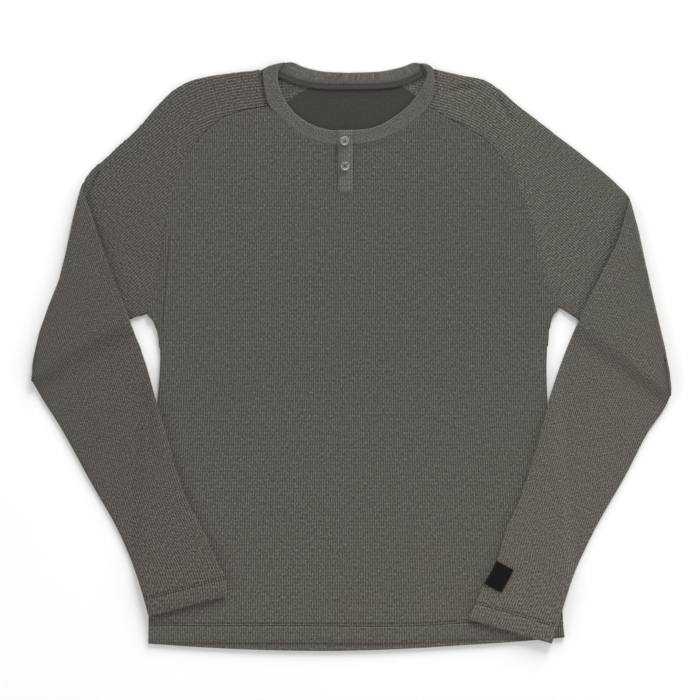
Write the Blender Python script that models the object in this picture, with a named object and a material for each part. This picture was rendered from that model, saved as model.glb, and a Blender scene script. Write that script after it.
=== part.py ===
"""A long-sleeved henley thermal top in waffle knit, laid flat with both forearms folded in.

One closed solid stands for each piece that is cut and sewn.  The top lies face up in the XY
plane, collar toward +Y and hem toward -Y, and its lowest layer rests on Z = 0.  Sizes are in
millimetres in the tables and in metres in the meshes.  Left and right are the viewer's.
"""
import math

import bmesh
import bpy
import numpy as np

MM = 0.001

# Cloth and layers.
CLOTH = 1.4                 # waffle knit of the body and sleeves
BAND_CLOTH = 1.6            # folded rib of the neckband
TAPE_CLOTH = 1.0            # tape over the back neck seam
PLACKET_CLOTH = 1.4
LABEL_CLOTH = 1.0
SEAM_GAP = 0.3              # between two pieces, side by side or one on the other
FRONT_LEVEL = CLOTH + SEAM_GAP
TUBE_HEIGHT = FRONT_LEVEL + CLOTH
FOREARM_LIFT = TUBE_HEIGHT + SEAM_GAP
ELBOW_AXIS = TUBE_HEIGHT + SEAM_GAP / 2
BAND_ROUNDING = 0.45        # bevel of its long edges
BAND_AXIS = 2.4             # height that the neckband folds about at each shoulder
BAND_DROP = 1.5             # how far the band comes down to the front panel's level
BAND_DROP_FROM = 318.0      # the sewn edge's place where it starts, below the neck tape
BAND_DROP_OVER = 28.0

# Shares of the upper sleeve and of the forearm over which their ends' shapes die away.
ARMHOLE_SHAPE_OVER = 0.8
BOW_OVER = 1 / 3

# How a forearm comes down from what carries it to the table.
DROP_START = 11.0
DROP_WIDTH = 17.0

# Numbers of facets.
RAGLAN_FRONT = 10
RAGLAN_BACK = 8
NECK_FRONT = 24
NECK_BACK = 12
SHOULDER_FRONT = 4
SHOULDER_BACK = 6
PANEL_ROWS = 14
UPPER_ROWS = 11
FOLD_ROWS = 6
FOREARM_ROWS = 16
EDGE_STEPS = 4
LINE_STEPS = 60             # of a smooth line before it is divided
TAPE_STEPS = 24
PLACKET_ROWS = 12
LABEL_STEPS = 8
BUTTON_SIDES = 32
HOLE_SIDES = 10

# Placket and buttons.
PLACKET = dict(left=-16.0, right=1.8, bottom=197.7, top=275.6)
STAND = dict(left=-15.5, right=1.2, bottom=199.5, top=275.0)
BAND_STEP_AT = 255.0        # where the placket runs from the front panel on to the band
BAND_STEP_OVER = 6.0
SLOT_PAST_BAND = 15.0       # how far the button stand's slot is cut on past the stand
SLOT_LOW = -1.0
SLOT_HIGH = 8.0
BUTTON_RADIUS = 5.5
BUTTON_HEIGHT = 2.2
BUTTON_HOLE_RADIUS = 0.8
BUTTON_HOLE_SPREAD = 1.5
BUTTON_HOLES = 4
BUTTONS = dict(button_upper=(-7.9, 261.8), button_lower=(-7.0, 231.0))

# Label folded over the inner edge of the right forearm.
LABEL_HIGH = -250.0
LABEL_LOW = -278.0
LABEL_WIDTH = 22.5
LABEL_WRAP = math.radians(112)

COLOURS = dict(
    front_panel="5a5752", back_panel="46443f", sleeve_left="57544f", sleeve_right="5e5a55",
    neckband="64615c", neck_tape="4a4643", placket="65645f", button_stand="4e4c48",
    button_upper="96938e", button_lower="96938e", cuff_label="151515")
SHINY = ("button_upper", "button_lower")


def table(columns, *rows):
    """Rows of numbers as dictionaries, so that each value is read by its column's name."""
    return [dict(zip(columns.split(), row)) for row in rows]


HEM_FRONT = table("x y", (-247, -350.5), (-190, -351), (-60, -351), (80, -351), (133, -348),
                  (188, -344.5), (232, -343), (259.6, -343))
HEM_BACK = table("x y", (-247, -351.5), (-188, -355.5), (-113, -359), (-13, -360.2), (60, -358),
                 (133, -353.5), (188, -350), (232, -346.5), (259.6, -344))

# Side seams from hem to armpit.
SIDES = table("left_x left_y right_x right_y",
              (-247, -350.5, 259.6, -343),
              (-247, -310, 257.5, -310),
              (-244, -190, 249, -190),
              (-236, -58, 239.6, -62),
              (-233.3, 8, 238.6, 0),
              (-235.5, 28, 242.3, 34),
              (-241, 42, 246, 50),
              (-249, 50.4, 255, 58.2))

# Raglan seams from neckband to armpit.
RAGLAN_FRONT_SEAM = table("left_x left_y right_x right_y",
                          (-99.3, 304.8, 94.5, 304),
                          (-133, 298.5, 122, 287.6),
                          (-155, 291, 152, 272.5),
                          (-193.5, 254, 178, 249),
                          (-216, 211.5, 203, 211.5),
                          (-226, 163, 222.5, 155),
                          (-234, 102, 234, 102),
                          (-249, 50.4, 255, 58.2))
RAGLAN_BACK_SEAM = table("left_x left_y right_x right_y",
                         (-47, 331.4, 59, 332),
                         (-77, 311.5, 84, 314),
                         (-120, 280, 125, 281),
                         (-170, 225, 172, 226),
                         (-205, 165, 208, 165),
                         (-230, 105, 232, 107),
                         (-249, 50.4, 255, 58.2))

# Edges of the neckband: sewn edge and free edge, from the shoulder fold to the middle.
BAND_FRONT_LEFT = table("sewn_x sewn_y free_x free_y",
                        (-108, 349.4, -81.3, 357.8),
                        (-106.5, 332, -88.6, 346),
                        (-99.3, 304.8, -85.5, 322),
                        (-85, 290.5, -75, 303.5),
                        (-57, 267.5, -48, 282.3),
                        (-30, 258.6, -26, 275.8),
                        (-3, 257.2, -3, 275))
BAND_FRONT_RIGHT = table("sewn_x sewn_y free_x free_y",
                         (100.4, 350.4, 85.2, 356.9),
                         (101.5, 330, 92, 347),
                         (94.5, 304, 86, 326),
                         (79, 288.6, 72, 307.5),
                         (54.7, 272.3, 51, 290.5),
                         (27, 261, 27, 278.5),
                         (-3, 257.2, -3, 275))
BAND_BACK_LEFT = table("sewn_x sewn_y free_x free_y",
                       (-108, 349.4, -81.3, 357.8),
                       (-88, 345.5, -73, 358.6),
                       (-67, 336.5, -58, 352.8),
                       (-47, 331.4, -38.6, 348),
                       (-3, 329.2, -3, 345.7))
BAND_BACK_RIGHT = table("sewn_x sewn_y free_x free_y",
                        (100.4, 350.4, 85.2, 356.9),
                        (90, 346, 78, 358),
                        (74, 337.5, 63, 353),
                        (59, 332, 42.5, 348.3),
                        (-3, 329.2, -3, 345.7))

TAPE = table("x middle_y", (-97, 347), (-88.5, 344), (-76, 339), (-60, 333.5), (-40, 330),
             (-3, 329), (34, 329.8), (57, 332.5), (75, 339), (86, 344.5))
TAPE_WIDTH = 8.0

# Sleeves.  The overarm edge runs from the neckband to the elbow fold, the underarm edge from
# the armpit to it, and the fold's own edge joins them; then the forearm's two edges run back.
OVERARM = table("left_x left_y right_x right_y",
                (-108, 349.4, 100.4, 350.4),
                (-153, 344.5, 141, 341.2),
                (-192, 336.7, 168.6, 334),
                (-211.6, 327.6, 179.4, 326.3),
                (-233, 308.5, 201.5, 307.3),
                (-257.2, 281.2, 236.4, 280.2),
                (-295.3, 245.2, 282.5, 245.2),
                (-317, 225, 318.5, 215.4),
                (-329.6, 207.5, 340, 194.5))
UNDERARM = table("left_x left_y right_x right_y",
                 (-249, 50.4, 255, 58.2),
                 (-270, 45, 279, 43),
                 (-310, 28, 315, 17.5),
                 (-391.5, -26, 391.5, -43))
FOREARM_INNER = table("left_x left_y right_x right_y",
                      (-329.6, 207.5, 340, 194.5),
                      (-312, 160, 325, 141),
                      (-292.5, 104.5, 294, 78),
                      (-270.7, 45, 264.5, 12),
                      (-251.8, -6, 244.8, -42.7),
                      (-228, -88, 228, -104),
                      (-206, -156, 206, -174),
                      (-187, -201, 186, -220),
                      (-162, -249, 178, -250),
                      (-152.5, -277, 158, -287),
                      (-152, -293, 143.2, -321.7))
FOREARM_OUTER = table("left_x left_y right_x right_y",
                      (-391.5, -26, 391.5, -43),
                      (-381, -46, 384.5, -61),
                      (-357, -84, 363, -92.9),
                      (-319, -152.6, 338, -141),
                      (-282, -219, 294, -219.5),
                      (-262, -268, 270, -273),
                      (-252.6, -297.5, 256, -317),
                      (-247, -318.4, 245, -351.1))
# How far the elbow fold's edge bows out of its straight line.
FOLD_BOW = table("share left right", (0, 0, 0), (0.17, -0.4, 2.2), (0.34, -2.7, 2),
                 (0.49, -3.3, 2.2), (0.63, 0.8, 2.7), (0.77, 3.5, 3.3), (0.9, 2.2, 2.6),
                 (1, 0, 0))

# A button's half section, in shares of its radius and height.
BUTTON_PROFILE = table("across up", (0, 0), (0.75, 0), (0.95, 0.25), (1, 0.55), (0.96, 0.9),
                       (0.88, 1), (0.8, 0.93), (0.68, 0.62), (0, 0.55))

# Soft ridges where the cloth of the front stands off the back.
RIDGES = table("from_x from_y to_x to_y half_width height",
               (-222, 178, -229, 96, 9, 0.9),
               (-231, 96, -229, 25, 8, 0.7),
               (90, 131, 205, 124, 14, 0.5),
               (188, -34, 226, -18, 12, 0.5))


def places(rows, side=""):
    """The x and y columns of a table as an array, those of one side where it has two."""
    return np.array([(row[side + "x"], row[side + "y"]) for row in rows], float)


def ease(share):
    """A soft step from 0 to 1."""
    held = np.clip(share, 0.0, 1.0)
    return held * held * (3 - 2 * held)


def smooth_curve(knots, shares):
    """Points at the given shares of the length of a smooth curve through the knots."""
    at = np.concatenate([[0.0], np.cumsum(np.linalg.norm(np.diff(knots, axis=0), axis=1))])
    slope = np.gradient(knots, at, axis=0)
    wanted = np.asarray(shares) * at[-1]
    span = np.clip(np.searchsorted(at, wanted, side="right") - 1, 0, len(at) - 2)
    width = (at[span + 1] - at[span])[:, None]
    part = (wanted - at[span])[:, None] / width
    start = (1 + 2 * part) * (1 - part) ** 2 * knots[span]
    leave = part * (1 - part) ** 2 * width * slope[span]
    arrive = part ** 2 * (part - 1) * width * slope[span + 1]
    end = part ** 2 * (3 - 2 * part) * knots[span + 1]
    return start + leave + arrive + end


def curve(rows, steps, side=""):
    """A table's smooth curve in a number of even steps."""
    return smooth_curve(places(rows, side), np.linspace(0, 1, steps + 1))


def beside(line, distance):
    """The line moved sideways, to its left as it runs where the distance is positive.

    Each bend is mitred, so the moved line keeps its distance at sharp corners too.
    """
    run = np.diff(line, axis=0)
    run /= np.linalg.norm(run, axis=1, keepdims=True)
    normal = np.stack([-run[:, 1], run[:, 0]], axis=1)
    before = np.concatenate([normal[:1], normal])
    after = np.concatenate([normal, normal[-1:]])
    spread = 1 + (before * after).sum(axis=1, keepdims=True)
    return line + distance * (before + after) / spread


def clear_corner(corner, along, edge):
    """A corner moved along one line until it is a seam's gap away from another edge."""
    way = (along - corner) / np.linalg.norm(along - corner)
    side = (edge - corner) / np.linalg.norm(edge - corner)
    turn = abs(way[0] * side[1] - way[1] * side[0])
    return corner + way * SEAM_GAP / turn


def joined(*lines):
    """Lines end to end, with each shared corner kept once."""
    return np.concatenate([lines[0]] + [line[1:] for line in lines[1:]])


def patch(bottom, top, left, right):
    """A grid of points spread smoothly between four edges."""
    across = np.linspace(0, 1, len(bottom))[None, :, None]
    up = np.linspace(0, 1, len(left))[:, None, None]
    between_ends = (1 - up) * bottom[None] + up * top[None]
    between_sides = (1 - across) * left[:, None] + across * right[:, None]
    corners = ((1 - up) * ((1 - across) * bottom[0] + across * bottom[-1])
               + up * ((1 - across) * top[0] + across * top[-1]))
    return between_ends + between_sides - corners


def ridge_height(plan):
    """How far the front's soft ridges stand up at points of the plan."""
    height = np.zeros(plan.shape[:-1])
    for ridge in RIDGES:
        start = np.array((ridge["from_x"], ridge["from_y"]), float)
        course = np.array((ridge["to_x"], ridge["to_y"]), float) - start
        share = (plan - start) @ course / (course @ course)
        nearest = start + np.clip(share, 0, 1)[..., None] * course
        apart = np.linalg.norm(plan - nearest, axis=-1)
        height += ridge["height"] * ease(1 - apart / ridge["half_width"])
    return height


# ---------------------------------------------------------------- meshes

def add_grid(mesh, points, closed=False):
    """Vertices and faces of a grid of points; a closed grid's rows join end to start."""
    vertices = [[mesh.verts.new(point * MM) for point in row] for row in points]
    columns = len(vertices[0])
    for low, high in zip(vertices, vertices[1:]):
        for here in range(columns if closed else columns - 1):
            after = (here + 1) % columns
            mesh.faces.new((low[here], low[after], high[after], high[here]))
    return vertices


def add_strip(mesh, first, second, closed=False):
    """Faces between two rows of vertices."""
    count = len(first)
    for here in range(count if closed else count - 1):
        after = (here + 1) % count
        mesh.faces.new((first[here], first[after], second[after], second[here]))


def add_object(name, mesh):
    """An object with its own material from a finished mesh, its faces turned outward."""
    bmesh.ops.recalc_face_normals(mesh, faces=mesh.faces)
    data = bpy.data.meshes.new(name)
    mesh.to_mesh(data)
    mesh.free()
    thing = bpy.data.objects.new(name, data)
    bpy.context.scene.collection.objects.link(thing)
    material = bpy.data.materials.new(name)
    material.use_nodes = True
    surface = material.node_tree.nodes["Principled BSDF"]
    surface.inputs["Base Color"].default_value = linear(COLOURS[name])
    surface.inputs["Metallic"].default_value = 0.0
    surface.inputs["Roughness"].default_value = 0.35 if name in SHINY else 0.95
    data.materials.append(material)
    return thing


def linear(code):
    """A hex colour as the linear values that a material holds."""
    parts = [int(code[at:at + 2], 16) / 255 for at in (0, 2, 4)]
    return [p / 12.92 if p <= 0.04045 else ((p + 0.055) / 1.055) ** 2.4 for p in parts] + [1.0]


def sheet(name, plan, low, high):
    """A flat-lying piece: a grid of plan points between its lower and upper heights."""
    mesh = bmesh.new()
    lower = add_grid(mesh, np.dstack([plan, np.broadcast_to(low, plan.shape[:2])]))
    upper = add_grid(mesh, np.dstack([plan, np.broadcast_to(high, plan.shape[:2])]))
    add_strip(mesh, lower[0], upper[0])
    add_strip(mesh, lower[-1], upper[-1])
    add_strip(mesh, [row[0] for row in lower], [row[0] for row in upper])
    add_strip(mesh, [row[-1] for row in lower], [row[-1] for row in upper])
    return add_object(name, mesh)


def block(name, box, low, high):
    """A plain block from its named sides."""
    plan = np.array([[(box["left"], y), (box["right"], y)] for y in (box["bottom"], box["top"])])
    return sheet(name, plan, low, high)


# ---------------------------------------------------------------- seams shared by pieces

def band_edge(kind):
    """One edge of the neckband all round: front from left to right, then the back."""
    front_left = curve(BAND_FRONT_LEFT, LINE_STEPS, kind)
    front_right = curve(BAND_FRONT_RIGHT, LINE_STEPS, kind)
    back_left = curve(BAND_BACK_LEFT, LINE_STEPS, kind)
    back_right = curve(BAND_BACK_RIGHT, LINE_STEPS, kind)
    return joined(front_left, front_right[::-1]), joined(back_left, back_right[::-1])


def cut_line(line, corners, steps):
    """A line sampled so that it has a vertex at each corner, with set steps between them."""
    at = np.concatenate([[0.0], np.cumsum(np.linalg.norm(np.diff(line, axis=0), axis=1))])
    marks = [0.0]
    for corner in corners:
        marks.append(at[np.argmin(np.linalg.norm(line - np.asarray(corner), axis=1))])
    marks.append(at[-1])
    stretches = [np.linspace(a, b, n + 1) for a, b, n in zip(marks, marks[1:], steps)]
    wanted = joined(*stretches)
    return np.stack([np.interp(wanted, at, line[:, 0]), np.interp(wanted, at, line[:, 1])], axis=1)


def neck_seams():
    """The neckband's sewn edge, front and back, from the left shoulder to the right one."""
    front, back = band_edge("sewn_")
    front_corners = [places(RAGLAN_FRONT_SEAM, side)[0] for side in ("left_", "right_")]
    back_corners = [places(RAGLAN_BACK_SEAM, side)[0] for side in ("left_", "right_")]
    front = cut_line(front, front_corners, (SHOULDER_FRONT, NECK_FRONT, SHOULDER_FRONT))
    back = cut_line(back, back_corners, (SHOULDER_BACK, NECK_BACK, SHOULDER_BACK))
    return front, back


def raglan(side, layer):
    """A raglan seam from the neckband's sewn edge to the armpit."""
    seam = {"front": RAGLAN_FRONT_SEAM, "back": RAGLAN_BACK_SEAM}[layer]
    steps = {"front": RAGLAN_FRONT, "back": RAGLAN_BACK}[layer]
    neck = dict(zip(("front", "back"), neck_seams()))[layer]
    shoulder = {"front": SHOULDER_FRONT, "back": SHOULDER_BACK}[layer]
    line = curve(seam, steps, side)
    line[0] = neck[shoulder] if side == "left_" else neck[-1 - shoulder]
    return line


# ---------------------------------------------------------------- body

def panel_plan(layer, hem):
    """The plan of the front or back panel, from hem to neck."""
    neck = dict(zip(("front", "back"), neck_seams()))[layer]
    shoulder = {"front": SHOULDER_FRONT, "back": SHOULDER_BACK}[layer]
    left = raglan("left_", layer)[::-1]
    right = raglan("right_", layer)
    left[-1] = clear_corner(left[-1], left[-2], neck[shoulder + 1])
    right[0] = clear_corner(right[0], right[1], neck[-2 - shoulder])
    top = joined(left, beside(neck, -SEAM_GAP)[shoulder:-shoulder], right)
    up_left = curve(SIDES, PANEL_ROWS, "left_")
    up_right = curve(SIDES, PANEL_ROWS, "right_")
    bottom = curve(hem, len(top) - 1)
    up_left[0] = bottom[0]
    up_right[0] = bottom[-1]
    return patch(bottom, top, up_left, up_right)


def build_back_panel():
    return sheet("back_panel", panel_plan("back", HEM_BACK), 0.0, CLOTH)


def build_front_panel(slot):
    plan = panel_plan("front", HEM_FRONT)
    rise = ridge_height(plan)
    front = sheet("front_panel", plan, FRONT_LEVEL + rise, FRONT_LEVEL + CLOTH + rise)
    cut_with(front, slot)
    return front


# ---------------------------------------------------------------- sleeves

def supported(plan, side):
    """1 over what carries a forearm, the upper sleeve or the body, and 0 on the table."""
    sides = places(SIDES, side)
    edge = np.interp(plan[..., 1], sides[:, 1], sides[:, 0])
    outward = -1 if side == "left_" else 1
    hem = places(HEM_FRONT)
    past_side = (plan[..., 0] - edge) * outward
    past_hem = np.interp(plan[..., 0], hem[:, 0], hem[:, 1]) - plan[..., 1]
    off_body = np.maximum(past_side, past_hem)
    under = places(UNDERARM, side)
    order = np.argsort(under[:, 0])
    off_sleeve = np.interp(plan[..., 0], under[order, 0], under[order, 1]) - plan[..., 1]
    off = np.minimum(off_body, off_sleeve)
    return 1 - ease((off - DROP_START) / DROP_WIDTH)


def tube_loop(across_front, across_back):
    """The section of a flattened tube, once round.

    Each point has the share of the width that it lies at in its layer, the layer (1 for the
    front), its height share from 0 below to 1 above, and how far it is round an edge.
    """
    loop = [dict(share=share, index=at, layer=1, turn=0.0)
            for at, share in enumerate(across_front)]
    for step in range(1, EDGE_STEPS):
        loop.append(dict(share=1.0, index=None, layer=None, turn=step / EDGE_STEPS))
    loop += [dict(share=share, index=at, layer=0, turn=0.0)
             for at, share in reversed(list(enumerate(across_back)))]
    for step in range(1, EDGE_STEPS):
        loop.append(dict(share=0.0, index=None, layer=None, turn=1 - step / EDGE_STEPS))
    return loop


def shares_along(line):
    """Each point's share of a line's length."""
    at = np.concatenate([[0.0], np.cumsum(np.linalg.norm(np.diff(line, axis=0), axis=1))])
    return at / at[-1]


def ring(front, back, loop, wall):
    """Plan points and heights once round a flattened tube, at a depth in its wall.

    front and back are the two layers' lines across the sleeve, from the overarm edge to the
    underarm edge.  wall is 0 on the outside and CLOTH on the inside.
    """
    centre = TUBE_HEIGHT / 2
    radius = centre - wall
    chord = front[-1] - front[0]
    chord = chord / np.linalg.norm(chord)
    lines = {1: front.copy(), 0: back.copy()}
    for line in lines.values():
        line[0] = line[0] + chord * centre
        line[-1] = line[-1] - chord * centre
    plan = []
    height = []
    for point in loop:
        if point["layer"] is not None:
            plan.append(lines[point["layer"]][point["index"]])
            height.append(centre + (radius if point["layer"] else -radius))
            continue
        end = -1 if point["share"] else 0
        outward = chord if point["share"] else -chord
        hub = (front[end] - outward * centre)
        angle = math.pi * point["turn"]
        plan.append(hub + outward * radius * math.sin(angle))
        height.append(centre + radius * math.cos(angle))
    return np.array(plan), np.array(height)


def straight(start, end, shares):
    return start + np.asarray(shares)[:, None] * (end - start)


def sleeve_rows(side):
    """Layer lines across the upper sleeve, seam to elbow fold, and across the forearm."""
    at_left = side == "left_"
    turn = 1 if at_left else -1
    neck = dict(zip(("front", "back"), neck_seams()))
    seam = {}
    for layer, shoulder in (("front", SHOULDER_FRONT), ("back", SHOULDER_BACK)):
        line = neck[layer][:shoulder + 1] if at_left else neck[layer][::-1][:shoulder + 1]
        line = joined(line, raglan(side, layer))
        seam[layer] = beside(line, -turn * SEAM_GAP)
    # The front and the back layer share the overarm and the underarm edge.
    overarm = curve(OVERARM, UPPER_ROWS, side)
    underarm = curve(UNDERARM, UPPER_ROWS, side)
    start = overarm[1] - overarm[0]
    overarm[0] = overarm[0] + start / np.linalg.norm(start) * SEAM_GAP * 2
    start = underarm[1] - underarm[0]
    underarm[0] = underarm[0] + start / np.linalg.norm(start) * SEAM_GAP * 2
    fold = fold_line(side, overarm[-1], underarm[-1])
    shares = {layer: shares_along(line) for layer, line in seam.items()}
    upper = []
    for row in range(UPPER_ROWS + 1):
        progress = row / UPPER_ROWS
        here = {}
        for layer, line in seam.items():
            chord = straight(line[0], line[-1], shares[layer])
            bulge = (line - chord) * (1 - ease(progress / ARMHOLE_SHAPE_OVER))
            bow = (fold(shares[layer]) - straight(*fold([0, 1]), shares[layer])) * ease(progress)
            base = fold([0, 1]) if row == UPPER_ROWS else (overarm[row], underarm[row])
            here[layer] = straight(*base, shares[layer]) + bulge + bow
            here[layer][0] = base[0]
            here[layer][-1] = base[1]
        upper.append(here)
    inner = curve(FOREARM_INNER, FOREARM_ROWS, side)
    outer = curve(FOREARM_OUTER, FOREARM_ROWS, side)
    forearm = []
    for row in range(FOREARM_ROWS + 1):
        progress = row / FOREARM_ROWS
        here = {}
        for layer in seam:
            bow = (fold(shares[layer]) - straight(*fold([0, 1]), shares[layer]))
            base = fold([0, 1]) if row == 0 else (inner[row], outer[row])
            here[layer] = straight(*base, shares[layer]) + bow * (1 - ease(progress / BOW_OVER))
        forearm.append(here)
    return upper, forearm, fold, shares


def fold_line(side, top, bottom):
    """A function giving points on the elbow fold's axis at shares of its length."""
    course = bottom - top
    outward = np.array((course[1], -course[0])) / np.linalg.norm(course)
    outward = outward if (outward[0] < 0) == (side == "left_") else -outward
    name = side.rstrip("_")
    bow_at = [row["share"] for row in FOLD_BOW]
    bow_by = [row[name] for row in FOLD_BOW]

    def at(shares):
        shares = np.asarray(shares, float)
        out = np.interp(shares, bow_at, bow_by) - ELBOW_AXIS
        return top + shares[:, None] * course + out[:, None] * outward
    at.outward = outward
    return at


def sleeve_skin(side, wall):
    """Every point of a sleeve at one depth in its wall, row by row from armhole to cuff."""
    upper, forearm, fold, shares = sleeve_rows(side)
    loop = tube_loop(shares["front"], shares["back"])
    rows = []
    for here in upper:
        plan, height = ring(here["front"], here["back"], loop, wall)
        rows.append(np.column_stack([plan, height]))
    plan, height = ring(upper[-1]["front"], upper[-1]["back"], loop, wall)
    for step in range(1, FOLD_ROWS):
        angle = math.pi * step / FOLD_ROWS
        reach = ELBOW_AXIS - height
        moved = plan + (reach * math.sin(angle))[:, None] * fold.outward
        rows.append(np.column_stack([moved, ELBOW_AXIS - reach * math.cos(angle)]))
    for here in forearm:
        plan, height = ring(here["front"], here["back"], loop, wall)
        lying = 2 * ELBOW_AXIS - height - FOREARM_LIFT * (1 - supported(plan, side))
        rows.append(np.column_stack([plan, lying]))
    return np.array(rows)


def build_sleeve(name, side):
    mesh = bmesh.new()
    outside = add_grid(mesh, sleeve_skin(side, 0.0), closed=True)
    inside = add_grid(mesh, sleeve_skin(side, CLOTH), closed=True)
    add_strip(mesh, outside[0], inside[0], closed=True)
    add_strip(mesh, outside[-1], inside[-1], closed=True)
    return add_object(name, mesh)


# ---------------------------------------------------------------- neckband and tape

def build_neckband(slot):
    """A strip that runs round the neck: under at the back, over at the front."""
    sewn = neck_seams()
    front_free, back_free = band_edge("free_")
    free = []
    for line, edge in zip(sewn, (front_free, back_free)):
        free.append(smooth_curve(edge, shares_along(line)))
    sections = []
    for sewn_point, free_point in zip(sewn[0], free[0]):
        sections.append((sewn_point, free_point, math.pi))
    sections += shoulder_turn(sewn[0][-1], free[0][-1], from_front=True)
    for sewn_point, free_point in zip(sewn[1][::-1], free[1][::-1]):
        sections.append((sewn_point, free_point, 0.0))
    sections += shoulder_turn(sewn[0][0], free[0][0], from_front=False)
    mesh = bmesh.new()
    vertices = [[mesh.verts.new(point * MM) for point in band_section(*section)]
                for section in sections]
    for here, after in zip(vertices, vertices[1:] + vertices[:1]):
        add_strip(mesh, here, after, closed=True)
    band = add_object("neckband", mesh)
    cut_with(band, slot)
    return band


def shoulder_turn(sewn_point, free_point, from_front):
    """Sections round the fold at one shoulder, between the front and the back layer."""
    angles = [math.pi * step / FOLD_ROWS for step in range(1, FOLD_ROWS)]
    if from_front:
        angles.reverse()
    return [(sewn_point, free_point, angle) for angle in angles]


def band_section(sewn_point, free_point, angle):
    """The rounded strip section between a sewn and a free point, turned about the fold."""
    across = free_point - sewn_point
    width = np.linalg.norm(across)
    outward = np.array((-across[1], across[0])) / width
    if outward[1] < 0:
        outward = -outward
    corner = BAND_ROUNDING / width
    low = BAND_ROUNDING / BAND_CLOTH
    profile = ((0, low), (0, 1 - low), (corner, 1), (1 - corner, 1),
               (1, 1 - low), (1, low), (1 - corner, 0), (corner, 0))
    drop = 0.0
    if angle == math.pi:
        drop = BAND_DROP * float(ease((BAND_DROP_FROM - sewn_point[1]) / BAND_DROP_OVER))
    points = []
    for share, depth in profile:
        reach = BAND_AXIS - depth * BAND_CLOTH
        place = sewn_point + share * across + outward * reach * math.sin(angle)
        points.append(np.array((*place, BAND_AXIS - reach * math.cos(angle) - drop)))
    return points


def build_neck_tape():
    middle = curve([dict(x=row["x"], y=row["middle_y"]) for row in TAPE], TAPE_STEPS)
    plan = np.array([beside(middle, -TAPE_WIDTH / 2), middle, beside(middle, TAPE_WIDTH / 2)])
    low = BAND_CLOTH + SEAM_GAP
    return sheet("neck_tape", plan, low, low + TAPE_CLOTH)


# ---------------------------------------------------------------- placket and buttons

def placket_underside(y):
    """The placket lies on the front panel, then on the thicker neckband."""
    on_band = BAND_AXIS * 2 - BAND_DROP + SEAM_GAP
    on_panel = FRONT_LEVEL + CLOTH + SEAM_GAP
    return on_panel + (on_band - on_panel) * ease((y - BAND_STEP_AT) / BAND_STEP_OVER + 1)


def build_placket():
    up = np.linspace(PLACKET["bottom"], PLACKET["top"], PLACKET_ROWS + 1)
    plan = np.array([[(x, y) for x in (PLACKET["left"], PLACKET["right"])] for y in up])
    low = placket_underside(plan[..., 1])
    return sheet("placket", plan, low, low + PLACKET_CLOTH)


def build_button(name, centre):
    """A dished button turned from its half section, with four holes."""
    mesh = bmesh.new()
    line = [mesh.verts.new((row["across"] * BUTTON_RADIUS * MM, 0, row["up"] * BUTTON_HEIGHT * MM))
            for row in BUTTON_PROFILE]
    edges = [mesh.edges.new(pair) for pair in zip(line, line[1:])]
    bmesh.ops.spin(mesh, geom=line + edges, cent=(0, 0, 0), axis=(0, 0, 1),
                   angle=math.tau, steps=BUTTON_SIDES, use_merge=True)
    bmesh.ops.remove_doubles(mesh, verts=mesh.verts, dist=0.000001)
    seat = placket_underside(centre[1] + BUTTON_RADIUS) + PLACKET_CLOTH + SEAM_GAP
    bmesh.ops.translate(mesh, verts=mesh.verts, vec=np.array((*centre, seat)) * MM)
    button = add_object(name, mesh)
    for turn in range(BUTTON_HOLES):
        angle = math.tau * (turn + 0.5) / BUTTON_HOLES
        hole = np.array(centre) + BUTTON_HOLE_SPREAD * np.array((math.cos(angle), math.sin(angle)))
        cut_with(button, round_cutter(f"{name}_hole_{turn}", hole, seat))
    return button


def round_cutter(name, centre, seat):
    mesh = bmesh.new()
    bmesh.ops.create_cone(mesh, cap_ends=True, segments=HOLE_SIDES, radius1=BUTTON_HOLE_RADIUS * MM,
                          radius2=BUTTON_HOLE_RADIUS * MM, depth=BUTTON_HEIGHT * 3 * MM)
    bmesh.ops.translate(mesh, verts=mesh.verts, vec=np.array((*centre, seat)) * MM)
    return cutter(name, mesh)


def slot_cutter():
    """The slot for the button stand, cut through the front panel and the front of the band."""
    mesh = bmesh.new()
    bmesh.ops.create_cube(mesh, size=1)
    low = np.array((STAND["left"] - SEAM_GAP, STAND["bottom"] - SEAM_GAP, SLOT_LOW))
    high = np.array((STAND["right"] + SEAM_GAP, STAND["top"] + SLOT_PAST_BAND, SLOT_HIGH))
    bmesh.ops.scale(mesh, verts=mesh.verts, vec=(high - low) * MM)
    bmesh.ops.translate(mesh, verts=mesh.verts, vec=(high + low) / 2 * MM)
    return cutter("slot", mesh)


def cutter(name, mesh):
    """A hidden object that only cuts others."""
    data = bpy.data.meshes.new(name)
    mesh.to_mesh(data)
    mesh.free()
    thing = bpy.data.objects.new(name, data)
    bpy.context.scene.collection.objects.link(thing)
    thing.hide_render = True
    thing.display_type = "WIRE"
    return thing


def cut_with(thing, tool):
    cut = thing.modifiers.new(tool.name, "BOOLEAN")
    cut.operation = "DIFFERENCE"
    cut.solver = "EXACT"
    cut.object = tool


# ---------------------------------------------------------------- label

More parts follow.
